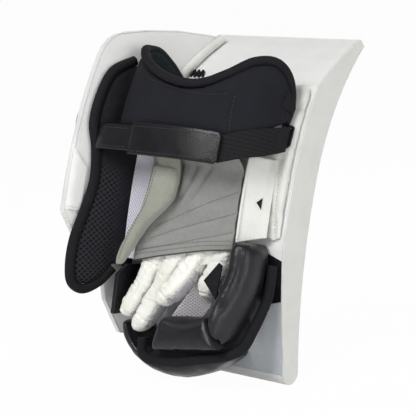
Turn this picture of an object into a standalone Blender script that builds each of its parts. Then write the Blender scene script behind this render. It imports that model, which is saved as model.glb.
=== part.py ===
"""Ice hockey goalkeeper's blocker for the right hand, built from separate sub-parts.

Metres, +Z up. The puck face looks along +Y, the hand side along -Y, and the thumb is at -X.
Places on the board are x across it, s up its curve and d out from its hand face.
Places on the side wall are s up the board, h up the wall and t in from its outer face.
"""
import math

import bmesh
import bpy
from mathutils import Vector

# Board
BOARD_LENGTH = 0.381
BOARD_WIDTH = 0.201
BOARD_THICKNESS = 0.039
BOTTOM_THICKNESS = 0.0255
BOTTOM_STRAIGHT = 0.030
BOTTOM_TAPER = 0.110
BOTTOM_ROUND = 0.012
TOP_THICKNESS = 0.010
TOP_TAPER = 0.078
LOWER_ARC = 0.223
LOWER_TURN = math.radians(18.2)
UPPER_TURN = math.radians(29.9)
START_LEAN = math.radians(-1.0)
FRONT_FOAM = 0.012
STIFFENER = 0.002
STIFFENER_MARGIN = 0.012
SKIN = 0.0015
GAP = 0.0003
STATION_STEP = 0.02

# Black inlay and grey panel on the hand face, heights at their straight and slanted ends
INLAY_TOP = 0.140
INLAY_TOP_EDGE = 0.129
INLAY_BOTTOM = 0.079
INLAY_BOTTOM_EDGE = 0.088
INLAY_SLANT_WIDTH = 0.034

# Side wall on the thumb side
WALL_HEIGHT = 0.100
WALL_FLARE = math.radians(20)
WALL_THICKNESS = 0.009
WALL_STEP = 0.0005
WALL_PLATE = 0.0015
WALL_RIM_LOW = 0.150
WALL_RIM_HIGH = 0.303
WALL_TOP_MARGIN = 0.012
WALL_LOW_HEIGHT = 0.043
BEAD_RADIUS = 0.005
TAB_LOW = 0.152
TAB_HIGH = 0.210
TAB_LEAF = 0.018
TAB_SHEET = 0.0018

# Liner pad
LINER_THICKNESS = 0.0117
LINER_INSET = 0.005
LINER_FOOT = 0.015
LINER_LOW = 0.074
LINER_HIGH = 0.298
BINDING_RADIUS = 0.0042

# Hand side
PAD_HEIGHT = 0.011
PAD_LOW = 0.146
PAD_HIGH = 0.303
PAD_CREASE = 0.278
PALM_DEPTH = 0.048
PALM_LOW_SIDE = 0.031
PALM_SHEET = 0.0025
PALM_RIGHT = 0.060
PALM_BOTTOM = [(-0.030, 0.119), (0.030, 0.131), (PALM_RIGHT, 0.135)]
PALM_FLARE_START = 0.207
PANEL_LOW = 0.146
PANEL_HIGH = 0.212

# Cuff and strap
CUFF_THICKNESS = 0.009
CUFF_REACH = 0.077
CUFF_LOW = 0.232
CUFF_BINDING = 0.0036
LINING = 0.0015
LACE_LEFT = -0.080
LACE_HEIGHT = 0.3095
STRAP_LOW = 0.2085
STRAP_HIGH = 0.2350
STRAP_HINGE = 0.082
WEBBING_CLIMB = 0.36
WEBBING = 0.0018
HOOK_TAPE = 0.0012
STRAP_SHEET = 0.0018
PATCH_SHEET = 0.0015

# Fingers
KNUCKLE_DROP = 0.0028
FINGER_PITCH = 0.0285
FINGER_WIDTH = 0.0245
FINGER_DEPTH = 0.0245
INDEX_X = -0.042

# Finger protection
ROLL_BINDING = 0.0055
MITRE_INNER = Vector((0.056, 0.073))
MITRE_OUTER = Vector((0.079, 0.0455))
FLAP_DEPTH = 0.050
FLAP_THICKNESS = 0.024
FLAP_LEAN = 0.2
CUP_WALL = 0.014
CUP_HEIGHT = 0.054
CUP_LEAN = 0.010
GUARD_SHEET = 0.005

LEFT = -BOARD_WIDTH / 2
RIGHT = BOARD_WIDTH / 2

FINISHES = {
    "white_leather": ((0.80, 0.80, 0.79), 0.42),
    "grey_panel": ((0.58, 0.60, 0.62), 0.45),
    "black_leather": ((0.030, 0.030, 0.033), 0.38),
    "black_nylon": ((0.018, 0.019, 0.024), 0.75),
    "teal_lining": ((0.016, 0.024, 0.028), 0.85),
    "grey_suede": ((0.25, 0.25, 0.245), 0.9),
    "white_mesh": ((0.70, 0.69, 0.74), 0.8),
    "foam": ((0.55, 0.57, 0.60), 0.9),
    "plastic": ((0.78, 0.79, 0.80), 0.4),
}


# Board geometry

LOWER_RADIUS = LOWER_ARC / LOWER_TURN
UPPER_RADIUS = (BOARD_LENGTH - LOWER_ARC) / UPPER_TURN


def between(value, marks):
    """Straight-line value from a list of (place, value) marks."""
    for (low, start), (high, end) in zip(marks, marks[1:]):
        if value <= high:
            share = max(value - low, 0.0) / (high - low)
            return start + (end - start) * share
    return marks[-1][1]


def board_thickness(s):
    """Thickness of the board, thinner at both ends."""
    return between(s, [
        (BOTTOM_STRAIGHT, BOTTOM_THICKNESS),
        (BOTTOM_STRAIGHT + BOTTOM_TAPER, BOARD_THICKNESS),
        (BOARD_LENGTH - TOP_TAPER, BOARD_THICKNESS),
        (BOARD_LENGTH, TOP_THICKNESS),
    ])


def face_depth(s):
    """Depth of the real hand face, at or below the d = 0 surface."""
    return board_thickness(s) - BOARD_THICKNESS


def puck_face(s):
    """Depth, height and lean of the puck face at s up its curve."""
    lower = min(s, LOWER_ARC)
    upper = max(s - LOWER_ARC, 0.0)
    middle = START_LEAN + lower / LOWER_RADIUS
    lean = middle + upper / UPPER_RADIUS
    depth = LOWER_RADIUS * (math.cos(START_LEAN) - math.cos(middle))
    depth += UPPER_RADIUS * (math.cos(middle) - math.cos(lean))
    height = LOWER_RADIUS * (math.sin(middle) - math.sin(START_LEAN))
    height += UPPER_RADIUS * (math.sin(lean) - math.sin(middle))
    return depth, height, lean


def board_point(x, s, d):
    """World place of a point given on the board."""
    depth, height, lean = puck_face(s)
    out = BOARD_THICKNESS + d
    return Vector((x, depth - out * math.cos(lean), height + out * math.sin(lean)))


def face_point(x, s, lift):
    """World place of a point lifted off the real hand face."""
    return board_point(x, s, face_depth(s) + lift)


def wall_section(h, t):
    """x and d of a point on the side wall."""
    x = LEFT + WALL_STEP - h * math.sin(WALL_FLARE) + t * math.cos(WALL_FLARE)
    return x, h * math.cos(WALL_FLARE) + t * math.sin(WALL_FLARE)


def wall_point(s, h, t):
    """World place of a point given on the side wall."""
    x, d = wall_section(h, t)
    return board_point(x, s, d)


def stations(low, high, step=STATION_STEP):
    """Even places from low to high, both included."""
    count = max(1, round((high - low) / step))
    return [low + (high - low) * i / count for i in range(count + 1)]


# Outlines and curves

def rounded(corners, steps=4):
    """An outline from (u, v, radius) corners, with arcs at the corners that have a radius."""
    outline = []
    for i, (u, v, radius) in enumerate(corners):
        here = Vector((u, v))
        if radius == 0:
            outline.append(here)
            continue
        before = (Vector(corners[i - 1][:2]) - here).normalized()
        after = (Vector(corners[(i + 1) % len(corners)][:2]) - here).normalized()
        half = before.angle(after) / 2
        centre = here + (before + after).normalized() * radius / math.sin(half)
        start = here + before * radius / math.tan(half) - centre
        end = here + after * radius / math.tan(half) - centre
        for k in range(steps + 1):
            outline.append(centre + start.slerp(end, k / steps).normalized() * radius)
    return outline


def drawn_in(outline, amount):
    """The outline moved inwards by an amount."""
    area = sum(a.x * b.y - a.y * b.x for a, b in zip(outline, outline[1:] + outline[:1]))
    turn = math.copysign(1, area)
    moved = []
    for i, here in enumerate(outline):
        before = (here - outline[i - 1]).normalized()
        after = (outline[(i + 1) % len(outline)] - here).normalized()
        inward = Vector((-before.y - after.y, before.x + after.x)).normalized() * turn
        share = max(0.5, abs(inward.dot(Vector((-after.y, after.x)))))
        moved.append(here + inward * amount / share)
    return moved


def smooth(points, steps):
    """Points on a smooth curve through the given points, with so many steps to a span."""
    points = [Vector(point) for point in points]
    ends = [2 * points[0] - points[1], 2 * points[-1] - points[-2]]
    row = [ends[0]] + points + [ends[1]]
    curve = []
    for a, b, c, e in zip(row, row[1:], row[2:], row[3:]):
        for i in range(steps):
            u = i / steps
            curve.append(0.5 * (2 * b + (c - a) * u + (2 * a - 5 * b + 4 * c - e) * u ** 2
                                + (3 * b - a - 3 * c + e) * u ** 3))
    curve.append(points[-1])
    return curve


class Wrap:
    """A curve in x and d that a sheet is bent around, measured along its length."""

    def __init__(self, points):
        self.points = smooth(points, 8)
        self.marks = [0.0]
        for a, b in zip(self.points, self.points[1:]):
            self.marks.append(self.marks[-1] + (b - a).length)
        self.length = self.marks[-1]

    def at(self, q):
        """Point and outward normal at q along the curve, which runs on straight past its ends."""
        span = 0
        while span < len(self.points) - 2 and self.marks[span + 1] < q:
            span += 1
        a, b = self.points[span], self.points[span + 1]
        along = (b - a).normalized()
        return a + along * (q - self.marks[span]), Vector((-along.y, along.x))

    def place(self, q, s, t):
        """World place of a point q along the curve, s up the board and t outwards."""
        point, normal = self.at(q)
        x, d = point + normal * t
        return board_point(x, s, d)

    def crossing(self, x):
        """Distance along the curve to the last place where it passes x."""
        last = max(i for i, point in enumerate(self.points[:-1]) if point.x <= x)
        a, b = self.points[last], self.points[last + 1]
        return self.marks[last] + (self.marks[last + 1] - self.marks[last]) * (x - a.x) / (b.x - a.x)


# Building shapes

def prism(outline, low, high):
    """A flat solid: an outline in u and v, from low to high in t."""
    shape = bmesh.new()
    base = shape.faces.new([shape.verts.new((u, v, low)) for u, v in outline])
    lifted = bmesh.ops.extrude_face_region(shape, geom=[base])
    top = [item for item in lifted["geom"] if isinstance(item, bmesh.types.BMVert)]
    bmesh.ops.translate(shape, verts=top, vec=(0, 0, high - low))
    bmesh.ops.recalc_face_normals(shape, faces=shape.faces[:])
    return shape


def crowned(outline, low, high, border, rise, steps=3):
    """A flat pad: upright sides, then an edge that rounds over to a raised top."""
    rings = [[(u, v, low) for u, v in outline]]
    for i in range(steps + 1):
        angle = math.pi / 2 * i / steps
        inner = drawn_in(outline, border * (1 - math.cos(angle)))
        rings.append([(u, v, high - rise * (1 - math.sin(angle))) for u, v in inner])
    return loft(rings)


def cut_lines(shape, axis, places):
    """Cut a flat shape along lines of constant u or v, so that it can bend there."""
    normal = Vector((0, 0, 0))
    normal[axis] = 1
    for place in places:
        everything = shape.verts[:] + shape.edges[:] + shape.faces[:]
        bmesh.ops.bisect_plane(shape, geom=everything, dist=0.00001,
                               plane_co=normal * place, plane_no=normal)


def bend(shape, place):
    """Move every vertex of a flat shape to its world place."""
    for vertex in shape.verts:
        vertex.co = place(*vertex.co)


def loft(rings):
    """A closed solid through rings that all have the same number of points."""
    shape = bmesh.new()
    rows = [[shape.verts.new(point) for point in ring] for ring in rings]
    for a, b in zip(rows, rows[1:]):
        for i in range(len(a)):
            k = (i + 1) % len(a)
            shape.faces.new((a[i], a[k], b[k], b[i]))
    shape.faces.new(rows[0])
    shape.faces.new(rows[-1])
    return shape


def oval(half_u, half_v, sides=14, power=2.4):
    """Offsets of an oval ring; a higher power makes it squarer."""
    ring = []
    for i in range(sides):
        angle = math.tau * (i + 0.5) / sides
        c, s = math.cos(angle), math.sin(angle)
        ring.append((half_u * math.copysign(abs(c) ** (2 / power), c),
                     half_v * math.copysign(abs(s) ** (2 / power), s)))
    return ring


def flowing(rings, steps):
    """Rings with smooth ones put in between, so many steps to a span."""
    lines = [smooth(line, steps) for line in zip(*rings)]
    return list(zip(*lines))


# Scene

def clear_scene():
    for item in list(bpy.data.objects):
        bpy.data.objects.remove(item, do_unlink=True)


def make_finish(name, finish):
    """A material with the colour and roughness of a named finish."""
    colour, roughness = FINISHES[finish]
    material = bpy.data.materials.new(name)
    material.use_nodes = True
    shader = material.node_tree.nodes["Principled BSDF"]
    shader.inputs["Base Color"].default_value = (*colour, 1)
    shader.inputs["Roughness"].default_value = roughness
    shader.inputs["Metallic"].default_value = 0
    return material


class Assembly:
    """The collection of parts and the empties that carry them."""

    def __init__(self, name):
        self.parts = bpy.data.collections.new(name)
        bpy.context.scene.collection.children.link(self.parts)
        self.root = self.empty(name + "_root", (0, 0, 0), None)

    def empty(self, name, place, parent):
        item = bpy.data.objects.new(name, None)
        item.location = place
        item.parent = parent
        self.parts.objects.link(item)
        bpy.context.view_layer.update()
        return item

    def hinge(self, name, place):
        """An empty on a joint's axis, for the pieces that turn there."""
        return self.empty(name, place, self.root)

    def carry(self, item, finish, holder):
        """Give an object its finish and hang it on the root or on a hinge."""
        self.parts.objects.link(item)
        item.data.materials.append(make_finish(item.name, finish))
        item.parent = holder or self.root
        item.matrix_parent_inverse = item.parent.matrix_world.inverted()
        return item

    def solid(self, name, shape, finish, holder=None):
        """Add a part from a shape."""
        bmesh.ops.recalc_face_normals(shape, faces=shape.faces[:])
        if shape.calc_volume(signed=True) < 0:
            bmesh.ops.reverse_faces(shape, faces=shape.faces[:])
        mesh = bpy.data.meshes.new(name)
        shape.to_mesh(mesh)
        shape.free()
        mesh.shade_smooth()
        mesh.set_sharp_from_angle(angle=math.radians(40))
        return self.carry(bpy.data.objects.new(name, mesh), finish, holder)

    def tube(self, name, points, radius, finish):
        """Add a round cord or binding along world points."""
        curve = bpy.data.curves.new(name, "CURVE")
        curve.dimensions = "3D"
        curve.bevel_depth = radius
        curve.bevel_resolution = 2
        curve.use_fill_caps = True
        spline = curve.splines.new("POLY")
        spline.points.add(len(points) - 1)
        for knot, point in zip(spline.points, points):
            knot.co = (*point, 1)
        return self.carry(bpy.data.objects.new(name, curve), finish, None)

    def stand_on_origin(self):
        """Move everything so that the origin is under the middle of the whole box."""
        bpy.context.view_layer.update()
        graph = bpy.context.evaluated_depsgraph_get()
        corners = []
        for item in self.parts.objects:
            if item.type == "EMPTY":
                continue
            shown = item.evaluated_get(graph)
            mesh = shown.to_mesh()
            corners += [shown.matrix_world @ vertex.co for vertex in mesh.vertices]
            shown.to_mesh_clear()
        low = [min(corner[axis] for corner in corners) for axis in range(3)]
        high = [max(corner[axis] for corner in corners) for axis in range(3)]
        self.root.location = (-(low[0] + high[0]) / 2, -(low[1] + high[1]) / 2, -low[2])
        bpy.context.view_layer.update()


# Board parts, drawn in side view as (s, t) with t from the puck face to the hand face

BOARD_STATIONS = sorted(set(
    stations(BOTTOM_ROUND, BOTTOM_STRAIGHT)
    + stations(BOTTOM_STRAIGHT, BOTTOM_STRAIGHT + BOTTOM_TAPER)
    + stations(BOTTOM_STRAIGHT + BOTTOM_TAPER, BOARD_LENGTH - TOP_TAPER)
    + stations(BOARD_LENGTH - TOP_TAPER, BOARD_LENGTH)))
INNER_HALF = BOARD_WIDTH / 2 - SKIN - GAP


def end_round(inset, steps=10):
    """The round bottom end, from the hand face to the puck face."""
    half = BOTTOM_THICKNESS / 2
    points = []
    for i in range(steps + 1):
        angle = math.pi * i / steps
        s = BOTTOM_ROUND - (BOTTOM_ROUND - inset) * math.sin(angle)
        points.append((s, half + (half - inset) * math.cos(angle)))
    return points


def skin_line(inset):
    """The bottom end, the puck face and the top end, at an inset from the outside."""
    front = [(s, inset) for s in BOARD_STATIONS[1:-1]]
    top = [(BOARD_LENGTH - inset, inset), (BOARD_LENGTH - inset, TOP_THICKNESS - inset)]
    return end_round(inset) + front + top


def section_solid(outline, low, high):
    """A solid with a side view outline, from low to high across the board."""
    shape = prism(outline, low, high)
    bend(shape, lambda s, t, x: board_point(x, s, t - BOARD_THICKNESS))
    return shape


def add_board_core(blocker):
    low = BOTTOM_ROUND
    front_low = SKIN + GAP
    plate_low = front_low + FRONT_FOAM + GAP
    back_low = plate_low + STIFFENER + GAP
    half = INNER_HALF - GAP

    places = [s for s in BOARD_STATIONS if s < BOARD_LENGTH - TOP_TAPER] + stations(
        BOARD_LENGTH - TOP_TAPER, BOARD_LENGTH - SKIN - GAP)
    upper = [(s, min(front_low + FRONT_FOAM, board_thickness(s) - SKIN - GAP)) for s in places]
    foam = upper + [(s, front_low) for s in reversed(places)]
    blocker.solid("board_front_foam", section_solid(foam, -half, half), "foam")

    places = stations(low + STIFFENER_MARGIN, BOARD_LENGTH - TOP_TAPER - STIFFENER_MARGIN)
    plate = [(s, plate_low + STIFFENER) for s in places] + [(s, plate_low) for s in reversed(places)]
    width = half - STIFFENER_MARGIN
    blocker.solid("board_stiffener", section_solid(plate, -width, width), "plastic")

    wedge = (BOARD_THICKNESS - back_low - 3 * SKIN) / (BOARD_THICKNESS - TOP_THICKNESS)
    places = [s for s in BOARD_STATIONS if s < BOARD_LENGTH - TOP_TAPER] + stations(
        BOARD_LENGTH - TOP_TAPER, BOARD_LENGTH - TOP_TAPER * (1 - wedge))
    upper = [(s, board_thickness(s) - SKIN - GAP) for s in places]
    foam = upper + [(s, back_low) for s in reversed(places)]
    blocker.solid("board_back_foam", section_solid(foam, -half, half), "foam")


def add_board_covers(blocker):
    skin = skin_line(0) + skin_line(SKIN)[::-1]
    blocker.solid("puck_face_skin", section_solid(skin, -INNER_HALF, INNER_HALF), "white_leather")

    hand = [(s, board_thickness(s)) for s in reversed(BOARD_STATIONS[1:-1])]
    side = skin_line(0) + hand
    edge = BOARD_WIDTH / 2
    blocker.solid("thumb_side_gusset", section_solid(side, -edge, -edge + SKIN), "white_leather")
    blocker.solid("pinky_side_gusset", section_solid(side, edge - SKIN, edge), "white_leather")

    high = BOARD_LENGTH - SKIN - GAP
    slant = INNER_HALF - INLAY_SLANT_WIDTH
    panels = {
        "hand_face_skin": ("white_leather", [
            (-INNER_HALF, INLAY_TOP), (slant, INLAY_TOP), (INNER_HALF, INLAY_TOP_EDGE),
            (INNER_HALF, high), (-INNER_HALF, high)]),
        "hand_face_inlay": ("black_leather", [
            (-INNER_HALF, INLAY_BOTTOM + GAP), (slant, INLAY_BOTTOM + GAP),
            (INNER_HALF, INLAY_BOTTOM_EDGE + GAP), (INNER_HALF, INLAY_TOP_EDGE - GAP),
            (slant, INLAY_TOP - GAP), (-INNER_HALF, INLAY_TOP - GAP)]),
        "lower_hand_panel": ("grey_panel", [
            (-INNER_HALF, BOTTOM_ROUND + GAP), (INNER_HALF, BOTTOM_ROUND + GAP),
            (INNER_HALF, INLAY_BOTTOM_EDGE), (slant, INLAY_BOTTOM), (-INNER_HALF, INLAY_BOTTOM)]),
    }
    for name, (finish, outline) in panels.items():
        shape = prism(outline, -SKIN, 0)
        cut_lines(shape, 1, BOARD_STATIONS)
        bend(shape, face_point)
        blocker.solid(name, shape, finish)


# Side wall parts

def wall_outline():
    """The wall's panel in (s, h), with its foot along the board's hand face."""
    foot = GAP / math.cos(WALL_FLARE)
    places = [s for s in BOARD_STATIONS[1:] if s < BOARD_LENGTH - WALL_TOP_MARGIN]
    places.append(BOARD_LENGTH - WALL_TOP_MARGIN)
    base = [(s, face_depth(s) / math.cos(WALL_FLARE) + foot + WALL_STEP, 0) for s in places]
    rim = [
        (WALL_RIM_HIGH, WALL_HEIGHT, 0.030),
        (WALL_RIM_LOW, WALL_HEIGHT + 0.003, 0.008),
        (WALL_RIM_LOW - 0.024, WALL_HEIGHT * 0.84, 0),
        (WALL_RIM_LOW - 0.052, WALL_LOW_HEIGHT + 0.006, 0.012),
        (WALL_RIM_LOW - 0.082, WALL_LOW_HEIGHT, 0),
        (WALL_RIM_LOW - 0.117, WALL_LOW_HEIGHT * 0.55, 0),
    ]
    return rounded(base + rim)


def add_side_wall(blocker):
    outline = wall_outline()
    inside = drawn_in(outline, SKIN)
    panel = drawn_in(outline, SKIN + GAP)

    tray = loft([
        [(u, v, 0) for u, v in outline], [(u, v, WALL_THICKNESS) for u, v in outline],
        [(u, v, WALL_THICKNESS) for u, v in inside], [(u, v, SKIN) for u, v in inside]])

    layer = SKIN + GAP
    core = (WALL_THICKNESS - 2 * layer - WALL_PLATE - GAP)
    sheets = {
        "wall_outer_cover": ("white_leather", tray),
        "wall_plate": ("plastic", prism(panel, layer, layer + WALL_PLATE)),
        "wall_foam": ("foam", prism(panel, layer + WALL_PLATE + GAP, layer + WALL_PLATE + GAP + core)),
        "wall_inner_cover": ("white_leather", prism(panel, WALL_THICKNESS - SKIN, WALL_THICKNESS)),
    }
    for name, (finish, shape) in sheets.items():
        cut_lines(shape, 0, BOARD_STATIONS)
        bend(shape, wall_point)
        blocker.solid(name, shape, finish)


def add_wall_trim(blocker):
    # Bead in the corner between the wall and the hand face
    line = []
    for s in [s for s in BOARD_STATIONS if s >= INLAY_TOP and s < BOARD_LENGTH - WALL_TOP_MARGIN]:
        d = face_depth(s) + BEAD_RADIUS + 2 * GAP
        h = (d - WALL_THICKNESS * math.sin(WALL_FLARE)) / math.cos(WALL_FLARE)
        clear = (BEAD_RADIUS + 2 * GAP) / math.cos(WALL_FLARE)
        line.append(board_point(wall_section(h, WALL_THICKNESS)[0] + clear, s, d))
    blocker.tube("wall_foot_bead", line, BEAD_RADIUS, "white_leather")

    # Tab folded over the rim: a U in (h, t), run along s
    high = WALL_HEIGHT + 0.003 + GAP
    low = high - TAB_LEAF
    outer = -GAP
    inner = WALL_THICKNESS + GAP
    fold = [(low, outer - TAB_SHEET), (high + TAB_SHEET, outer - TAB_SHEET),
            (high + TAB_SHEET, inner + TAB_SHEET), (low, inner + TAB_SHEET),
            (low, inner), (high, inner), (high, outer), (low, outer)]
    shape = prism(fold, TAB_LOW, TAB_HIGH)
    cut_lines(shape, 2, stations(TAB_LOW, TAB_HIGH))
    bend(shape, lambda h, t, s: wall_point(s, h, t))
    blocker.solid("rim_fold_tab", shape, "white_leather")

    # Keeper that holds the strap's end on the outside of the wall
    low_h = WALL_HEIGHT * 0.45
    keeper = rounded([(TAB_HIGH + 0.004, low_h, 0.006), (TAB_HIGH + 0.044, low_h, 0.006),
                      (TAB_HIGH + 0.044, WALL_HEIGHT - 0.002, 0.006),
                      (TAB_HIGH + 0.004, WALL_HEIGHT - 0.002, 0.006)])
    shape = prism(keeper, -GAP - 0.003, -GAP)
    cut_lines(shape, 0, BOARD_STATIONS)
    bend(shape, wall_point)
    blocker.solid("outer_strap_keeper", shape, "black_leather")


def liner_edge():
    """The liner's free edge in (s, h), from its lower inner corner round to its upper one."""
    high = WALL_HEIGHT - LINER_INSET
    return [
        (LINER_LOW + 0.022, 0.036), (LINER_LOW + 0.008, 0.052), (LINER_LOW, 0.074),
        (LINER_LOW + 0.008, 0.092), (LINER_LOW + 0.026, high + 0.002), (0.126, high),
        (TAB_LOW, WALL_HEIGHT - 0.013), (0.181, WALL_HEIGHT - 0.020), (TAB_HIGH, WALL_HEIGHT - 0.016),
        (0.232, high - 0.002), (0.258, high - 0.002), (0.280, 0.086), (LINER_HIGH, 0.064),
    ]


def add_liner(blocker):
    low = WALL_THICKNESS + GAP
    high = low + LINER_THICKNESS
    edge = [Vector(point) for point in smooth(liner_edge(), 2)]
    foot = [Vector((LINER_HIGH + 0.003, LINER_FOOT)), Vector((LINER_LOW + 0.024, LINER_FOOT))]
    inside = drawn_in(foot + edge, 2 * BINDING_RADIUS + GAP)
    shape = crowned(foot + inside[2:], low, high, 0.007, 0.005)
    cut_lines(shape, 0, BOARD_STATIONS)
    bend(shape, wall_point)
    blocker.solid("liner_pad", shape, "black_nylon")

    middle = drawn_in(foot + edge, BINDING_RADIUS)[2:]
    depth = WALL_THICKNESS + TAB_SHEET + 3 * GAP + BINDING_RADIUS
    line = [wall_point(s, h, depth) for s, h in middle]
    blocker.tube("liner_binding", line, BINDING_RADIUS, "black_nylon")


# Hand side parts

def add_hand_back_pad(blocker):
    left = wall_section(0.002, WALL_THICKNESS + LINER_THICKNESS)[0] + 0.006
    right = RIGHT - 0.003
    outline = rounded([(left, PAD_LOW, 0.006), (right, PAD_LOW, 0.006),
                       (right, PAD_HIGH, 0.012), (left, PAD_HIGH, 0.012)], 3)
    shape = crowned(outline, GAP, PAD_HEIGHT, 0.007, 0.006)
    channels = [PAD_CREASE + offset for offset in (-0.006, -0.003, 0, 0.003, 0.006)]
    cut_lines(shape, 1, BOARD_STATIONS + channels)

    def place(x, s, t):
        """The pad thins out at its lower edge and dips in a channel at the wrist."""
        thin = between(s, [(PAD_LOW, 0.4), (PAD_LOW + 0.030, 1.0)])
        dip = 0.4 * math.exp(-((s - PAD_CREASE) / 0.004) ** 2)
        return board_point(x, s, GAP + (t - GAP) * (thin - dip))

    bend(shape, place)
    blocker.solid("hand_back_pad", shape, "white_leather")


def cuff_wrap():
    """The inner face of the cuff: along the liner, over the wrist and down to the pad."""
    clear = WALL_THICKNESS + LINER_THICKNESS + CUFF_THICKNESS + 6 * GAP
    left_foot = wall_section(0.003, clear)
    left_side = wall_section(0.042, clear)
    return Wrap([
        left_foot, left_side, (left_side[0] + 0.003, CUFF_REACH - 0.006),
        (-0.042, CUFF_REACH), (0.008, CUFF_REACH), (0.046, CUFF_REACH - 0.009),
        (0.072, CUFF_REACH - 0.025), (RIGHT - 0.0195, 0.035), (RIGHT - 0.0165, PAD_HEIGHT + GAP),
    ])


def palm_depth(x):
    """Depth of the palm's inner face, lower on the pinky side."""
    return between(x, [(-0.062, PALM_DEPTH), (-0.020, PALM_DEPTH + 0.001), (0.000, PALM_DEPTH - 0.001),
                       (0.020, PALM_DEPTH - 0.004), (0.040, PALM_DEPTH - 0.010), (PALM_RIGHT, PALM_LOW_SIDE)])


def palm_left(s):
    """The palm's edge on the thumb side."""
    return between(s, [(0.112, -0.062), (0.150, -0.058), (0.200, -0.052), (CUFF_LOW, -0.050)])


def add_palm(blocker, cuff):
    top = CUFF_LOW - GAP
    left = [(palm_left(s), s) for s in (top, 0.200, 0.150, 0.112)]
    outline = left + PALM_BOTTOM + [(PALM_RIGHT, 0.206), (0.064, top)]

    def place(x, s, t):
        """The palm lies over the hand and flares out to the cuff above the wrist."""
        share = min(max((s - PALM_FLARE_START) / (top - PALM_FLARE_START), 0), 1)
        arch = cuff.at(cuff.crossing(x))[0].y + 0.002
        flat = palm_depth(x)
        return board_point(x, s, flat + (arch - flat) * share ** 2 * (3 - 2 * share) + t)

    shape = prism(outline, 0, PALM_SHEET)
    cut_lines(shape, 1, stations(0.112, PALM_FLARE_START, 0.019) + stations(PALM_FLARE_START, top, 0.006))
    cut_lines(shape, 0, [-0.040, -0.020, 0.000, 0.020, 0.040])
    bend(shape, place)
    blocker.solid("glove_palm", shape, "grey_suede")


def add_pinky_panel(blocker):
    side = Wrap([(PALM_RIGHT + 0.0006, PALM_LOW_SIDE + 0.0005), (PALM_RIGHT + 0.010, 0.021),
                 (PALM_RIGHT + 0.016, PAD_HEIGHT + GAP)])
    end = side.length
    notch = 0.182
    outline = [(0, PANEL_LOW), (end, PANEL_LOW + 0.008), (end, notch - 0.005), (end - 0.008, notch),
               (end, notch + 0.005), (end, PANEL_HIGH), (0, PANEL_HIGH - 0.008)]
    shape = prism(outline, GAP, GAP + PALM_SHEET)
    cut_lines(shape, 0, stations(0, end, 0.005)[1:-1])
    cut_lines(shape, 1, stations(PANEL_LOW, PANEL_HIGH))
    bend(shape, side.place)
    blocker.solid("pinky_side_panel", shape, "white_leather")


def add_thumb_gusset(blocker):
    """A mesh web from the liner to the palm's edge on the thumb side."""
    foot = Vector(wall_section(0.030, WALL_THICKNESS + LINER_THICKNESS + 3 * GAP))
    rings = []
    for s in stations(0.112, 0.206, 0.016):
        edge = Vector((palm_left(s) - 0.0006, palm_depth(palm_left(s)) + 0.0005))
        middle = (foot + edge) / 2 + Vector((0.002, -0.005))
        line = smooth([foot, middle, edge], 3)
        rings.append([board_point(x, s, d) for x, d in line]
                     + [board_point(x, s, d + SKIN) for x, d in reversed(line)])
    blocker.solid("thumb_gusset", loft(rings), "white_mesh")


def add_thumb(blocker):
    # Places down the thumb: s, middle x, half width and half depth
    line = [(0.2050, -0.023, 0.012, 0.0050), (0.2020, -0.023, 0.017, 0.0080), (0.190, -0.022, 0.019, 0.0090),
            (0.174, -0.025, 0.020, 0.0090), (0.160, -0.034, 0.016, 0.0085), (0.147, -0.046, 0.012, 0.0080),
            (0.130, -0.058, 0.010, 0.0075), (0.115, -0.068, 0.008, 0.0065), (0.106, -0.073, 0.004, 0.0040)]
    rings = []
    for s, x, width, depth in line:
        centre = PALM_DEPTH + 0.001 + PALM_SHEET + 2 * GAP + 0.009
        rings.append([board_point(x + u, s, centre + v) for u, v in oval(width, depth, 12)])
    hinge = blocker.hinge("thumb_hinge", board_point(line[1][1], line[1][0], centre))
    blocker.solid("thumb", loft(flowing(rings, 2)), "grey_suede", hinge)


def finger_rings(x, s, d, reach, slant, start, curl):
    """Rings of a finger from a round knuckle at (x, s, d), hanging down and curling outwards."""
    round_end = FINGER_DEPTH / 2
    sizes = [(-0.94 * round_end, 0.35), (-0.8 * round_end, 0.6), (-0.4 * round_end, 0.92), (0, 1.0),
             (0.25 * reach, 1.0), (0.5 * reach, 1.0), (0.75 * reach, 0.98), (reach - 0.7 * round_end, 0.9),
             (reach - 0.25 * round_end, 0.65), (reach, 0.3)]
    bow = curl / reach
    rings = []
    for along, size in sizes:
        lean = start + max(along, 0) * bow
        down = (math.sin(lean) - math.sin(start)) / bow + min(along, 0) * math.cos(start)
        out = (math.cos(start) - math.cos(lean)) / bow + min(along, 0) * math.sin(start)
        shift = x - slant * max(along, 0)
        rings.append([board_point(shift + u, s - down + v * math.sin(lean), d + out + v * math.cos(lean))
                      for u, v in oval(FINGER_WIDTH / 2 * size, FINGER_DEPTH / 2 * size, 12, 2.2)])
    return rings


def add_fingers(blocker):
    # Reach, slant, lean at the knuckle and curl of each finger
    fingers = {"index": (0.060, 0.45, -2, 34), "middle": (0.078, 0.45, -2, 30),
               "ring": (0.058, 0.45, 10, 44), "little": (0.046, 0.36, 0, 24)}
    for i, (name, (reach, slant, start, curl)) in enumerate(fingers.items()):
        x = INDEX_X + i * FINGER_PITCH
        s = between(x, [(-0.062, 0.112)] + PALM_BOTTOM) - KNUCKLE_DROP
        d = palm_depth(x) - GAP - FINGER_DEPTH / 2
        hinge = blocker.hinge(name + "_knuckle", board_point(x, s, d))
        rings = finger_rings(x, s, d, reach, slant, math.radians(start), math.radians(curl))
        blocker.solid(name + "_finger", loft(rings), "white_leather", hinge)


# Cuff and strap parts

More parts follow.
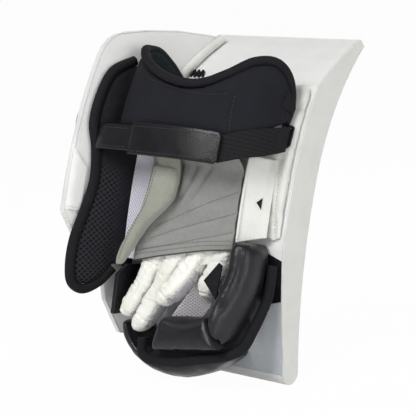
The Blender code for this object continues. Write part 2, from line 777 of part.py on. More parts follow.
def cuff_edge(cuff):
    """The cuff's upper edge as (q, s) points, from the thumb side to the pinky side."""
    shares = ((0.0, 0.298), (0.07, 0.307), (0.15, 0.312), (0.22, 0.306), (0.28, 0.293),
              (0.38, 0.282), (0.50, 0.276), (0.60, 0.277), (0.69, 0.287), (0.77, 0.301),
              (0.85, 0.307), (0.92, 0.302), (0.97, 0.290), (1.0, 0.274))
    return smooth([(share * cuff.length, s) for share, s in shares], 3)


def add_cuff(blocker, cuff):
    edge = cuff_edge(cuff)
    lower = [Vector((cuff.length, 0.262)), Vector((0.88 * cuff.length, CUFF_LOW + 0.010)),
             Vector((0.75 * cuff.length, CUFF_LOW)), Vector((0, CUFF_LOW))]
    whole = edge + lower
    outline = drawn_in(whole, 2 * CUFF_BINDING + GAP)[:len(edge)] + lower
    bends = stations(0.02 * cuff.length, 0.98 * cuff.length, 0.007)
    rows = stations(CUFF_LOW, 0.300, 0.019)[1:]
    shape = crowned(outline, GAP, CUFF_THICKNESS, 0.006, 0.004)
    cut_lines(shape, 0, bends)
    cut_lines(shape, 1, rows)
    bend(shape, cuff.place)
    blocker.solid("cuff_pad", shape, "black_nylon")

    shape = prism(outline, -LINING - 2 * GAP, -2 * GAP)
    cut_lines(shape, 0, bends)
    cut_lines(shape, 1, rows)
    bend(shape, cuff.place)
    blocker.solid("cuff_lining", shape, "teal_lining")

    middle = drawn_in(whole, CUFF_BINDING)[:len(edge)]
    line = [cuff.place(q, s, CUFF_THICKNESS / 2) for q, s in middle]
    blocker.tube("cuff_binding", line, CUFF_BINDING, "black_nylon")


def add_cuff_trim(blocker, cuff):
    # Zig-zag elastic lace on the hand face, between the cuff's thumb end and the bead
    x = LACE_LEFT
    radius = 0.0014
    zigzag = []
    for i in range(7):
        side = 0.004 if i % 2 else -0.004
        zigzag.append(face_point(x + 0.003 * i, LACE_HEIGHT + side, radius + GAP))
    blocker.tube("cuff_lace", zigzag, radius, "black_nylon")

    # Small tab at the cuff's pinky end
    end = cuff.length
    outline = [(end - 0.022, 0.268), (end - 0.008, 0.268), (end - 0.008, 0.280), (end - 0.022, 0.284)]
    shape = prism(outline, CUFF_THICKNESS + GAP, CUFF_THICKNESS + GAP + SKIN)
    bend(shape, cuff.place)
    blocker.solid("cuff_side_tab", shape, "black_nylon")


def strap_sheet(start, end, low, high, bottom, top, corner=0.0):
    """A flat strip to be bent around a wrap, with round corners at its far end."""
    outline = rounded([(start, bottom, 0), (end, bottom, corner), (end, top, corner), (start, top, 0)])
    shape = prism(outline, low, high)
    cut_lines(shape, 0, stations(start, end, 0.010)[1:-1])
    return shape


def add_webbing(blocker, cuff):
    # Webbing that runs up and round to the pinky side
    low = CUFF_THICKNESS + GAP
    bend_start = cuff.crossing(0.052)
    start = cuff.crossing(-0.005)
    end = cuff.length - 0.003
    shape = strap_sheet(start, end, low, low + WEBBING, STRAP_LOW + 0.002, STRAP_HIGH - 0.001)

    def place(q, s, t):
        """The webbing climbs once it leaves the front."""
        return cuff.place(q, s + WEBBING_CLIMB * max(q - bend_start, 0), t)

    bend(shape, place)
    blocker.solid("wrist_webbing", shape, "black_nylon")

    # Tab that anchors it on the pad
    outline = rounded([(RIGHT - 0.018, 0.232, 0.002), (RIGHT - 0.0045, 0.240, 0.002),
                       (RIGHT - 0.0045, 0.258, 0.002), (RIGHT - 0.021, 0.2605, 0.002)], 2)
    shape = prism(outline, PAD_HEIGHT + GAP, PAD_HEIGHT + GAP + SKIN)
    cut_lines(shape, 1, BOARD_STATIONS)
    bend(shape, board_point)
    blocker.solid("webbing_anchor_tab", shape, "black_leather")


def add_strap(blocker, cuff):
    # The strap leaves the liner near the wall's rim and lies over the webbing in front
    low = CUFF_THICKNESS + WEBBING + HOOK_TAPE + 3 * GAP
    hinge_x, hinge_d = wall_section(STRAP_HINGE, WALL_THICKNESS + LINER_THICKNESS + 4 * GAP)
    line = [Vector((hinge_x, hinge_d)), Vector((hinge_x + 0.018, hinge_d + 0.003))]
    for q in stations(cuff.crossing(-0.060), cuff.crossing(0.052), 0.016):
        point, normal = cuff.at(q)
        line.append(point + normal * low)
    strap = Wrap(line)
    middle = (STRAP_LOW + STRAP_HIGH) / 2
    hinge = blocker.hinge("strap_hinge", board_point(hinge_x, middle, hinge_d))

    patch_start = strap.crossing(-0.054)
    hook_start = strap.crossing(0.002)
    patch_low = STRAP_SHEET + GAP
    sheets = {
        "pull_strap": ("black_leather", strap_sheet(
            0, strap.length - 0.001, 0, STRAP_SHEET, STRAP_LOW + 0.003, STRAP_HIGH - 0.002, 0.004)),
        "strap_patch": ("black_leather", strap_sheet(
            patch_start, strap.length, patch_low, patch_low + PATCH_SHEET, STRAP_LOW, STRAP_HIGH, 0.004)),
        "strap_hook_tape": ("black_nylon", strap_sheet(
            hook_start, strap.length - 0.004, -GAP - HOOK_TAPE, -GAP, STRAP_LOW + 0.005, STRAP_HIGH - 0.004)),
    }
    for name, (finish, shape) in sheets.items():
        bend(shape, strap.place)
        blocker.solid(name, shape, finish, hinge)


# Finger protection parts

def add_finger_rolls(blocker):
    # Side roll, sewn down on the hand face: middle x and s, half width, middle d and half height of its rings
    line = [(0.0755, 0.1440, 0.0080, 0.027, 0.013), (0.0760, 0.1415, 0.0120, 0.027, 0.020),
            (0.0765, 0.1350, 0.0145, 0.027, 0.024), (0.0770, 0.1180, 0.0150, 0.028, 0.026),
            (0.0745, 0.1000, 0.0150, 0.031, 0.029), (0.0700, 0.0800, 0.0150, 0.035, 0.033)]
    mitre = (MITRE_OUTER - MITRE_INNER) / 2
    middle = (MITRE_OUTER + MITRE_INNER) / 2
    line.append((middle.x, middle.y, mitre.length, 0.039, 0.036))
    rings = []
    for i, (x, s, half, centre, height) in enumerate(line):
        slope = Vector((1, 0)).lerp(mitre.normalized(), (i / (len(line) - 1)) ** 2).normalized()
        ring = []
        for u, v in oval(half, height):
            up = s + u * slope.y
            seat = face_depth(up) + 2 * GAP
            ring.append(board_point(x + u * slope.x, up, seat if v < -0.8 * height else centre + v))
        rings.append(ring)
    blocker.solid("finger_roll_side", loft(flowing(rings, 2)), "black_leather")

    # Front roll: a padded flap in front of the fingertips
    gap = Vector((mitre.y, -mitre.x)).normalized() * 0.0006
    inner = MITRE_INNER + gap
    outer = MITRE_OUTER + gap
    outline = rounded([(-0.014, 0.033, 0.004), (outer.x, outer.y, 0), (inner.x, inner.y, 0),
                       (-0.006, 0.066, 0.006)], 2)
    shape = crowned(outline, 0, FLAP_THICKNESS, 0.008, 0.006)
    cut_lines(shape, 0, stations(0.004, 0.058, 0.018))

    def place(x, s, t):
        """The flap leans back towards its upper edge."""
        return board_point(x, s, FLAP_DEPTH + t + FLAP_LEAN * (MITRE_OUTER.y - s))

    bend(shape, place)
    blocker.solid("finger_roll_front", shape, "black_leather")


def add_finger_cup(blocker):
    # A padded wall round the fingertips, standing on the board's lower end
    line = smooth([(-0.079, 0.051), (-0.0755, 0.036), (-0.058, 0.019), (-0.030, 0.0088),
                   (0.006, 0.0088), (0.036, 0.0185), (0.056, 0.034)], 2)
    rings = []
    half = CUP_WALL / 2
    for i, point in enumerate(line):
        ahead = line[min(i + 1, len(line) - 1)] - line[max(i - 1, 0)]
        out = Vector((ahead.y, -ahead.x)).normalized()
        foot = face_depth(point.y) + GAP
        top = between(point.x, [(0.006, CUP_HEIGHT), (0.036, CUP_HEIGHT - 0.004), (0.056, CUP_HEIGHT - 0.016)])
        centre = (foot + top) / 2
        height = (top - foot) / 2
        ring = []
        for u, v in oval(half, height, 14, 3.0):
            reach = u - CUP_LEAN * (max(v, 0) / height) ** 2
            ring.append(board_point(point.x + out.x * reach, point.y + out.y * reach, centre + v))
        rings.append(ring)
    blocker.solid("finger_cup", loft(rings), "black_leather")


def add_finger_trim(blocker):
    # Binding between the rolls and the cup
    route = [(-0.033, 0.042, 0.0600), (-0.029, 0.0245, 0.0608), (0.012, 0.0245, 0.0606),
             (0.050, 0.0325, 0.0570), (0.0725, 0.0370, 0.0480), (0.0860, 0.0455, 0.0370),
             (0.0890, 0.0600, 0.0260), (0.0910, 0.0760, 0.0160), (0.0925, 0.0920, 0.0085),
             (0.0930, 0.1080, 0.0065), (0.0930, 0.1240, 0.0062)]
    line = [board_point(*point) for point in smooth(route, 3)]
    blocker.tube("finger_roll_binding", line, ROLL_BINDING, "black_nylon")

    # Index guard: a stiff panel on the thumb side of the fingers
    x = LEFT + 0.0165
    foot = [Vector((s, face_depth(s) + GAP)) for s in stations(0.058, 0.106, 0.012)]
    outline = foot + [Vector((0.106, 0.040)), Vector((0.096, 0.054)), Vector((0.058, 0.058))]
    shape = prism(outline, x, x + GUARD_SHEET)
    bend(shape, lambda s, d, across: board_point(across, s, d))
    blocker.solid("index_guard", shape, "black_leather")

    # Loop tab on the side roll, over the little finger
    outline = [(0.040, 0.104), (0.0580, 0.088), (0.0624, 0.120), (0.058, 0.122)]
    shape = prism(outline, 0.0495, 0.0515)
    bend(shape, board_point)
    blocker.solid("loop_tab", shape, "black_nylon")


def main():
    clear_scene()
    blocker = Assembly("goalkeeper_blocker")
    cuff = cuff_wrap()
    add_board_core(blocker)
    add_board_covers(blocker)
    add_side_wall(blocker)
    add_wall_trim(blocker)
    add_liner(blocker)
    add_hand_back_pad(blocker)
    add_palm(blocker, cuff)
    add_pinky_panel(blocker)
    add_thumb_gusset(blocker)
    add_thumb(blocker)
    add_fingers(blocker)
    add_cuff(blocker, cuff)
    add_cuff_trim(blocker, cuff)
    add_webbing(blocker, cuff)
    add_strap(blocker, cuff)
    add_finger_rolls(blocker)
    add_finger_cup(blocker)
    add_finger_trim(blocker)
    blocker.stand_on_origin()


main()
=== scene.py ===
"""Looks of a goalkeeper's blocker for the right hand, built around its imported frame.

Metres, +Z up. Places on the board are x across it, s up its curve and d out from its hand face.
Places on the side wall are s up the board, h up the wall and t in from its outer face.
"""
import math

import bmesh
import bpy
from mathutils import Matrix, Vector, noise
from mathutils.bvhtree import BVHTree
from mathutils.kdtree import KDTree


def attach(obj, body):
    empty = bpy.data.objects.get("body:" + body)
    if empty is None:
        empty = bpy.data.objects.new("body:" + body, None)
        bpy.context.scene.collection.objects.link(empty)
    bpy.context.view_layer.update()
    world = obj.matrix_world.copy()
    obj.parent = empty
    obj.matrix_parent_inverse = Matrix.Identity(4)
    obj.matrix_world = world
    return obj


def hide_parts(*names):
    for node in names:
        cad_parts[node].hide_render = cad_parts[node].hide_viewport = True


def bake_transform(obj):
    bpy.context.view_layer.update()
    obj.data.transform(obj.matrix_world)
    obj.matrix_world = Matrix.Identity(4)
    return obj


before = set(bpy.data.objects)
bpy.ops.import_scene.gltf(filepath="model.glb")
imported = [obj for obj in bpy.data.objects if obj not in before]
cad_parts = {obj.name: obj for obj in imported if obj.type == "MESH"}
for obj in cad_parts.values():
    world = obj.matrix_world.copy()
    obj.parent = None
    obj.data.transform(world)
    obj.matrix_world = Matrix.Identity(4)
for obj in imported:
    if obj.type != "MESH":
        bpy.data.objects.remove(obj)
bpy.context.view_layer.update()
GLOVE = "board_and_glove"

# Sizes shared with the part's source
OFFSET = Vector((0.01871, 0.007446, 0.000223))
BOARD_LENGTH = 0.381
BOARD_WIDTH = 0.201
BOARD_THICKNESS = 0.039
FOOT_THICKNESS = 0.0255
TOP_THICKNESS = 0.010
FOOT_END = 0.030
FULL_START = 0.140
FULL_END = 0.303
LOWER_ARC = 0.223
LOWER_TURN = math.radians(18.2)
UPPER_TURN = math.radians(29.9)
START_LEAN = math.radians(-1.0)
LOWER_RADIUS = LOWER_ARC / LOWER_TURN
UPPER_RADIUS = (BOARD_LENGTH - LOWER_ARC) / UPPER_TURN
LEFT = -BOARD_WIDTH / 2
RIGHT = BOARD_WIDTH / 2
WALL_HEIGHT = 0.100
WALL_FLARE = math.radians(20)
WALL_THICKNESS = 0.009
WALL_STEP = 0.0005
LINER_THICKNESS = 0.0117
PAD_HEIGHT = 0.011
PALM_DEPTH = 0.048
PALM_SHEET = 0.0025
PALM_LOW_SIDE = 0.031
PALM_RIGHT = 0.060
PALM_BOTTOM = [(-0.062, 0.112), (-0.030, 0.119), (0.030, 0.131), (PALM_RIGHT, 0.135)]
PALM_FLARE_START = 0.207
CUFF_THICKNESS = 0.009
CUFF_REACH = 0.077
CUFF_LOW = 0.232
CUFF_BINDING = 0.0036
STRAP_LOW = 0.2085
STRAP_HIGH = 0.2350
STRAP_THICKNESS = 0.0018
PATCH_THICKNESS = 0.0015
HOOK_TAPE = 0.0012
TAB_LOW = 0.152
TAB_HIGH = 0.210
GAP = 0.0003
PALM_TOP = CUFF_LOW - GAP
GUSSET_LOW = 0.112
GUSSET_HIGH = 0.226

# Thicknesses of the sheets of cloth and leather
RIM_LEATHER = 0.0018
KEEPER_LEATHER = 0.0030
ROOT_SUEDE = 0.0016
GUSSET_MESH = 0.0015
PANEL_LEATHER = 0.0025
BAND_LEATHER = 0.0014
LINING_CLOTH = 0.0015
THIN_CLOTH = 0.0012

# The keeper over the strap's end, and how far a seam lies from its edge
KEEPER_START = TAB_HIGH + 0.004
KEEPER_LENGTH = 0.040
KEEPER_BULGE = 0.006
HEM = 0.003

# Radii of the rolled edges, and the step along them
CUFF_ROLL = 0.0052
LINER_ROLL = 0.0056
BAND_ROLL = 0.0055
ROLL_STEP = 0.003

# Pitch, length and radius of the stitches
PLAIN_STITCH = (0.0042, 0.0029, 0.00055)
CUFF_STITCH = (0.0042, 0.0029, 0.0004)
FINE_STITCH = (0.0030, 0.0020, 0.0004)
THUMB_STITCH = (0.0034, 0.0022, 0.0004)
STRAP_STITCH = (0.0036, 0.0026, 0.0005)

# Fingers from the index on: reach, sideways slant, lean at the root and curl in degrees
FINGERS = {"index": (0.060, 0.45, -2, 34), "middle": (0.078, 0.45, -2, 30),
           "ring": (0.058, 0.45, 10, 44), "little": (0.046, 0.36, 0, 24)}
INDEX_X = -0.042
FINGER_PITCH = 0.0285
FINGER_WIDTH = 0.0245
FINGER_DEPTH = 0.0245
FINGER_STEPS = 30

# Shares by which a finger is widened, hangs fuller below its centre and is squared off
FINGER_SPREAD = 0.155
FINGER_SAG = 0.25
FINGER_SQUARE = 0.10

# Angles round a finger of the two seams that its mesh side lies between
TOP_SEAM_TURN = 25
LOW_SEAM_TURN = -65

# Camera fitted to the photograph
CAMERA_PLACE = (1.09771, -1.29095, 0.43862)
CAMERA_TARGET = (-0.00654, 0.00745, 0.17552)
CAMERA_LENS = 135.68

# Light of the studio
LAMP_TARGET = (0, 0, 0.2)
WORLD_LIGHT = 0.33
FLOOR_GLOW = 0.97


# Places on the board and the wall

def between(value, marks):
    """Straight-line value from a list of (place, value) marks."""
    for (low, start), (high, end) in zip(marks, marks[1:]):
        if value <= high:
            return start + (end - start) * max(value - low, 0.0) / (high - low)
    return marks[-1][1]


def board_thickness(s):
    """The board is thinner at its foot and tapers to its top edge."""
    return between(s, [(FOOT_END, FOOT_THICKNESS), (FULL_START, BOARD_THICKNESS),
                       (FULL_END, BOARD_THICKNESS), (BOARD_LENGTH, TOP_THICKNESS)])


def face_depth(s):
    """Depth of the real hand face, at or below the d = 0 surface."""
    return board_thickness(s) - BOARD_THICKNESS


def board_point(x, s, d):
    """The row-frame place of a point given on the board."""
    middle = START_LEAN + min(s, LOWER_ARC) / LOWER_RADIUS
    lean = middle + max(s - LOWER_ARC, 0.0) / UPPER_RADIUS
    depth = LOWER_RADIUS * (math.cos(START_LEAN) - math.cos(middle))
    depth += UPPER_RADIUS * (math.cos(middle) - math.cos(lean))
    height = LOWER_RADIUS * (math.sin(middle) - math.sin(START_LEAN))
    height += UPPER_RADIUS * (math.sin(lean) - math.sin(middle))
    out = BOARD_THICKNESS + d
    return Vector((x, depth - out * math.cos(lean), height + out * math.sin(lean))) + OFFSET


def to_board(point):
    """x, s and d of a row-frame point."""
    place = point - OFFSET
    middle = START_LEAN + LOWER_TURN
    y = LOWER_RADIUS * math.cos(START_LEAN)
    z = -LOWER_RADIUS * math.sin(START_LEAN)
    lean = math.atan2(place.z - z, y - place.y)
    if lean <= middle:
        above = math.hypot(place.z - z, y - place.y) - LOWER_RADIUS
        return Vector((place.x, (lean - START_LEAN) * LOWER_RADIUS, above - BOARD_THICKNESS))
    y += (UPPER_RADIUS - LOWER_RADIUS) * math.cos(middle)
    z -= (UPPER_RADIUS - LOWER_RADIUS) * math.sin(middle)
    lean = math.atan2(place.z - z, y - place.y)
    above = math.hypot(place.z - z, y - place.y) - UPPER_RADIUS
    return Vector((place.x, LOWER_ARC + (lean - middle) * UPPER_RADIUS, above - BOARD_THICKNESS))


def wall_section(h, t):
    """x and d of a point on the side wall."""
    x = LEFT + WALL_STEP - h * math.sin(WALL_FLARE) + t * math.cos(WALL_FLARE)
    return x, h * math.cos(WALL_FLARE) + t * math.sin(WALL_FLARE)


def wall_point(s, h, t):
    x, d = wall_section(h, t)
    return board_point(x, s, d)


def to_wall(point):
    """s, h and t of a row-frame point."""
    x, s, d = to_board(point)
    x -= LEFT + WALL_STEP
    return Vector((s, d * math.cos(WALL_FLARE) - x * math.sin(WALL_FLARE),
                   x * math.cos(WALL_FLARE) + d * math.sin(WALL_FLARE)))


def smooth(points, steps):
    """Points on a smooth curve through the given points, with so many steps to a span."""
    points = [Vector(point) for point in points]
    row = [2 * points[0] - points[1]] + points + [2 * points[-1] - points[-2]]
    curve = []
    for a, b, c, e in zip(row, row[1:], row[2:], row[3:]):
        for i in range(steps):
            u = i / steps
            curve.append(0.5 * (2 * b + (c - a) * u + (2 * a - 5 * b + 4 * c - e) * u ** 2
                                + (3 * b - a - 3 * c + e) * u ** 3))
    curve.append(points[-1])
    return curve


def even(points, step):
    """Points an even step apart along a line."""
    out = [points[0]]
    left = step
    for a, b in zip(points, points[1:]):
        length = (b - a).length
        done = 0.0
        while length - done >= left:
            done += left
            out.append(a.lerp(b, done / length))
            left = step
        left -= length - done
    return out


class Wrap:
    """A curve in x and d that a sheet is bent around, measured along its length."""

    def __init__(self, points):
        self.points = smooth(points, 8)
        self.marks = [0.0]
        for a, b in zip(self.points, self.points[1:]):
            self.marks.append(self.marks[-1] + (b - a).length)
        self.length = self.marks[-1]

    def at(self, q):
        """Point and outward normal at q along the curve."""
        span = 0
        while span < len(self.points) - 2 and self.marks[span + 1] < q:
            span += 1
        a, b = self.points[span], self.points[span + 1]
        along = (b - a).normalized()
        back = (a - self.points[max(span - 1, 0)]) or along
        ahead = (self.points[min(span + 2, len(self.points) - 1)] - b) or along
        share = min(max((q - self.marks[span]) / (b - a).length, 0), 1)
        enter = (back.normalized() + along).normalized()
        leave = (ahead.normalized() + along).normalized()
        turn = enter.lerp(leave, share)
        return a + along * (q - self.marks[span]), Vector((-turn.y, turn.x)).normalized()

    def place(self, q, s, t):
        point, normal = self.at(q)
        x, d = point + normal * t
        return board_point(x, s, d)

    def crossing(self, x):
        """Distance along the curve to the last place where it passes x."""
        last = max(i for i, point in enumerate(self.points[:-1]) if point.x <= x)
        a, b = self.points[last], self.points[last + 1]
        return self.marks[last] + (self.marks[last + 1] - self.marks[last]) * (x - a.x) / (b.x - a.x)


def cuff_wrap():
    """The inner face of the cuff: along the liner, over the wrist and down to the pad."""
    clear = WALL_THICKNESS + LINER_THICKNESS + CUFF_THICKNESS + 6 * GAP
    left_side = wall_section(0.042, clear)
    return Wrap([wall_section(0.003, clear), left_side, (left_side[0] + 0.003, CUFF_REACH - 0.006),
                 (-0.042, CUFF_REACH), (0.008, CUFF_REACH), (0.046, CUFF_REACH - 0.009),
                 (0.072, CUFF_REACH - 0.025), (RIGHT - 0.0195, 0.035), (RIGHT - 0.0165, PAD_HEIGHT + GAP)])


CUFF = cuff_wrap()


def palm_depth(x):
    """Depth of the palm's inner face, lower on the pinky side."""
    return between(x, [(-0.062, PALM_DEPTH), (-0.020, PALM_DEPTH + 0.001), (0.000, PALM_DEPTH - 0.001),
                       (0.020, PALM_DEPTH - 0.004), (0.040, PALM_DEPTH - 0.010), (PALM_RIGHT, PALM_LOW_SIDE)])


def palm_left(s):
    """The palm's edge on the thumb side."""
    return between(s, [(0.112, -0.062), (0.150, -0.058), (0.200, -0.052), (CUFF_LOW, -0.050)])


# Materials, put together node by node; textures take the object's own metres

FINISH = {}


def add_node(tree, kind, props=(), **inputs):
    """A node with its properties set and its inputs set or linked; i0, i1 and so on go by number."""
    node = tree.nodes.new(kind)
    for label, value in dict(props).items():
        setattr(node, label, value)
    for label, value in inputs.items():
        numbered = label[0] == "i" and label[1:].isdigit()
        socket = node.inputs[int(label[1:]) if numbered else label]
        if isinstance(value, bpy.types.NodeSocket):
            tree.links.new(value, socket)
        else:
            socket.default_value = value
    return node


class Finish:
    """A procedural material with a Principled shader, kept in FINISH by its name."""

    def __init__(self, name, roughness, **sockets):
        FINISH[name] = bpy.data.materials.new(name)
        FINISH[name].use_nodes = True
        self.tree = FINISH[name].node_tree
        self.shader = self.tree.nodes["Principled BSDF"]
        self.shader.inputs["Roughness"].default_value = roughness
        for label, value in sockets.items():
            self.shader.inputs[label.replace("_", " ")].default_value = value
        self.metres = self.add("ShaderNodeTexCoord").outputs["Object"]
        self.height = None

    def add(self, kind, props=(), **inputs):
        return add_node(self.tree, kind, props, **inputs)

    def math(self, operation, a, b=0.0):
        return self.add("ShaderNodeMath", {"operation": operation}, i0=a, i1=b).outputs[0]

    def ramp(self, value, low, high, start=0.0, end=1.0):
        """A smooth step of a value from low to high."""
        return self.add("ShaderNodeMapRange", {"interpolation_type": "SMOOTHSTEP"}, i0=value, i1=low, i2=high,
                        i3=start, i4=end).outputs[0]

    def noise(self, size, detail=3.0, rough=0.55, vector=None):
        """Noise with features of a size in metres."""
        return self.add("ShaderNodeTexNoise", Vector=vector or self.metres, Scale=1 / size, Detail=detail,
                        Roughness=rough).outputs["Fac"]

    def cells(self, size, randomness=1.0, vector=None, flat=False):
        """Distance from the middle of cells of a size in metres, as a share of the cell."""
        node = self.add("ShaderNodeTexVoronoi", {"voronoi_dimensions": "2D" if flat else "3D"},
                        Vector=vector or self.metres, Scale=1 / size, Randomness=randomness)
        return node.outputs["Distance"]

    def place(self):
        """The place on the board or the wall that a piece keeps for each of its points."""
        return self.add("ShaderNodeAttribute", {"attribute_name": "place"}).outputs["Vector"]

    def turned(self, vector, degrees, scale=(1, 1, 1)):
        return self.add("ShaderNodeMapping", Vector=vector, Rotation=(0, 0, math.radians(degrees)),
                        Scale=scale).outputs[0]

    def mix(self, share, a, b):
        """Colour between a and b; each is a colour or a socket."""
        node = self.add("ShaderNodeMix", {"data_type": "RGBA"}, i0=share)
        for socket, value in ((node.inputs[6], a), (node.inputs[7], b)):
            if isinstance(value, bpy.types.NodeSocket):
                self.tree.links.new(value, socket)
            else:
                socket.default_value = (*value, 1)
        return node.outputs[2]

    def colour(self, socket):
        self.tree.links.new(socket, self.shader.inputs["Base Color"])

    def rough(self, value, low, high):
        self.tree.links.new(self.ramp(value, 0.3, 0.7, low, high), self.shader.inputs["Roughness"])

    def bump(self, height, depth):
        """Bump of a depth in metres, on top of those already there."""
        node = self.add("ShaderNodeBump", Height=height, Distance=depth, Strength=1.0)
        if self.height:
            self.tree.links.new(self.height, node.inputs["Normal"])
        self.height = node.outputs[0]
        self.tree.links.new(self.height, self.shader.inputs["Normal"])


def leather(name, colour, shade, roughness, grain=0.00025, soft=0.0006, stain=None, gloss=0.5):
    """Smooth coated leather with a fine grain, slow waves and faint marks."""
    finish = Finish(name, roughness, Specular_IOR_Level=gloss)
    tone = finish.mix(finish.ramp(finish.noise(0.035, 4), 0.35, 0.7), colour, shade)
    if stain:
        marks = finish.ramp(finish.noise(0.012, 6, 0.7), 0.58, 0.74, 0.0, 0.7)
        tone = finish.mix(marks, tone, stain)
    finish.colour(tone)
    finish.rough(finish.noise(0.02, 5), roughness - 0.07, roughness + 0.10)
    finish.bump(finish.noise(0.022, 2), soft)
    finish.bump(finish.cells(0.0013), grain)


def nylon(name, colour, light, weave=0.0011):
    """Close-woven matt cloth."""
    finish = Finish(name, 0.85, Specular_IOR_Level=0.25)
    thread = finish.cells(weave, 0.25)
    tone = finish.mix(finish.ramp(thread, 0.15, 0.75), light, colour)
    finish.colour(finish.mix(finish.ramp(finish.noise(0.03, 4), 0.35, 0.75, 0.0, 0.5), tone, colour))
    finish.bump(finish.noise(0.014, 3), 0.0008)
    finish.bump(thread, -0.00035)


def spacer_mesh():
    """Liner cloth: knitted mesh with diamond holes low down that turns to plain cloth above the strap."""
    finish = Finish("liner_cloth", 0.82, Specular_IOR_Level=0.25)
    place = finish.place()
    apart = finish.add("ShaderNodeSeparateXYZ", Vector=place)
    lattice = finish.cells(0.0037, 0.0, finish.turned(place, 45, (1, 0.8, 1)), True)
    low = finish.ramp(apart.outputs[0], 0.212, 0.185)
    out = finish.ramp(apart.outputs[1], 0.030, 0.052)
    shown = finish.math("MULTIPLY", low, out)
    hole = finish.math("MULTIPLY", finish.ramp(lattice, 0.40, 0.24), shown)
    patches = finish.ramp(finish.noise(0.02, 4), 0.3, 0.7)
    tone = finish.mix(patches, (0.005, 0.005, 0.008), (0.009, 0.009, 0.013))
    rib = finish.mix(finish.math("MULTIPLY", shown, 0.8), tone, (0.024, 0.024, 0.030))
    finish.colour(finish.mix(hole, rib, (0.002, 0.002, 0.003)))
    finish.bump(finish.noise(0.016, 3), 0.0010)
    finish.bump(hole, -0.0012)
    finish.bump(finish.cells(0.0011, 0.3), -0.0003)


def open_mesh(name, colour, hole_colour, pitch, turn=45):
    """White knitted mesh with small holes in a staggered grid."""
    finish = Finish(name, 0.75, Sheen_Weight=0.2, Sheen_Roughness=0.4)
    lattice = finish.cells(pitch, 0.0, finish.turned(finish.place(), turn), True)
    hole = finish.ramp(lattice, 0.36, 0.20)
    tone = finish.mix(finish.ramp(finish.noise(0.02, 4), 0.35, 0.7), colour, tuple(0.9 * c for c in colour))
    finish.colour(finish.mix(hole, tone, hole_colour))
    finish.bump(hole, -0.0008)
    finish.bump(finish.noise(0.012, 3), 0.0006)


def suede(name, colour, shade):
    """Napped palm leather with soft worn patches."""
    finish = Finish(name, 0.95, Sheen_Weight=0.3, Sheen_Roughness=0.6)
    nap = finish.noise(0.0016, 4, 0.7)
    tone = finish.mix(finish.ramp(finish.noise(0.028, 5, 0.6), 0.33, 0.7), colour, shade)
    finish.colour(finish.mix(finish.ramp(nap, 0.35, 0.7, 0.0, 0.35), tone, tuple(1.35 * c for c in colour)))
    finish.bump(finish.noise(0.02, 3), 0.0008)
    finish.bump(nap, 0.0003)


def webbing_cloth(name, colour, light):
    """Ribbed strap weave: ribs run along the strap."""
    finish = Finish(name, 0.80, Specular_IOR_Level=0.3)
    place = finish.place()
    ribs = finish.add("ShaderNodeTexWave", {"bands_direction": "Y"}, Vector=place, Scale=1 / 0.0105,
                      Distortion=0.4, Detail=1.0).outputs["Fac"]
    cross = finish.add("ShaderNodeTexWave", {"bands_direction": "X"}, Vector=place, Scale=1 / 0.007,
                       Distortion=0.3, Detail=1.0).outputs["Fac"]
    weave = finish.math("ADD", finish.math("MULTIPLY", ribs, 0.7), finish.math("MULTIPLY", cross, 0.3))
    finish.colour(finish.mix(finish.ramp(weave, 0.2, 0.8), colour, light))
    finish.bump(weave, 0.0004)


def thread(name, colour):
    finish = Finish(name, 0.6)
    finish.colour(finish.mix(finish.noise(0.001, 2), colour, tuple(0.75 * c for c in colour)))


def plain_core(name, colour, roughness, cell):
    """Foam or moulded plate inside the covers."""
    finish = Finish(name, roughness)
    cells = finish.cells(cell)
    finish.colour(finish.mix(finish.ramp(cells, 0.1, 0.8), colour, tuple(0.85 * c for c in colour)))
    finish.bump(cells, 0.0002)


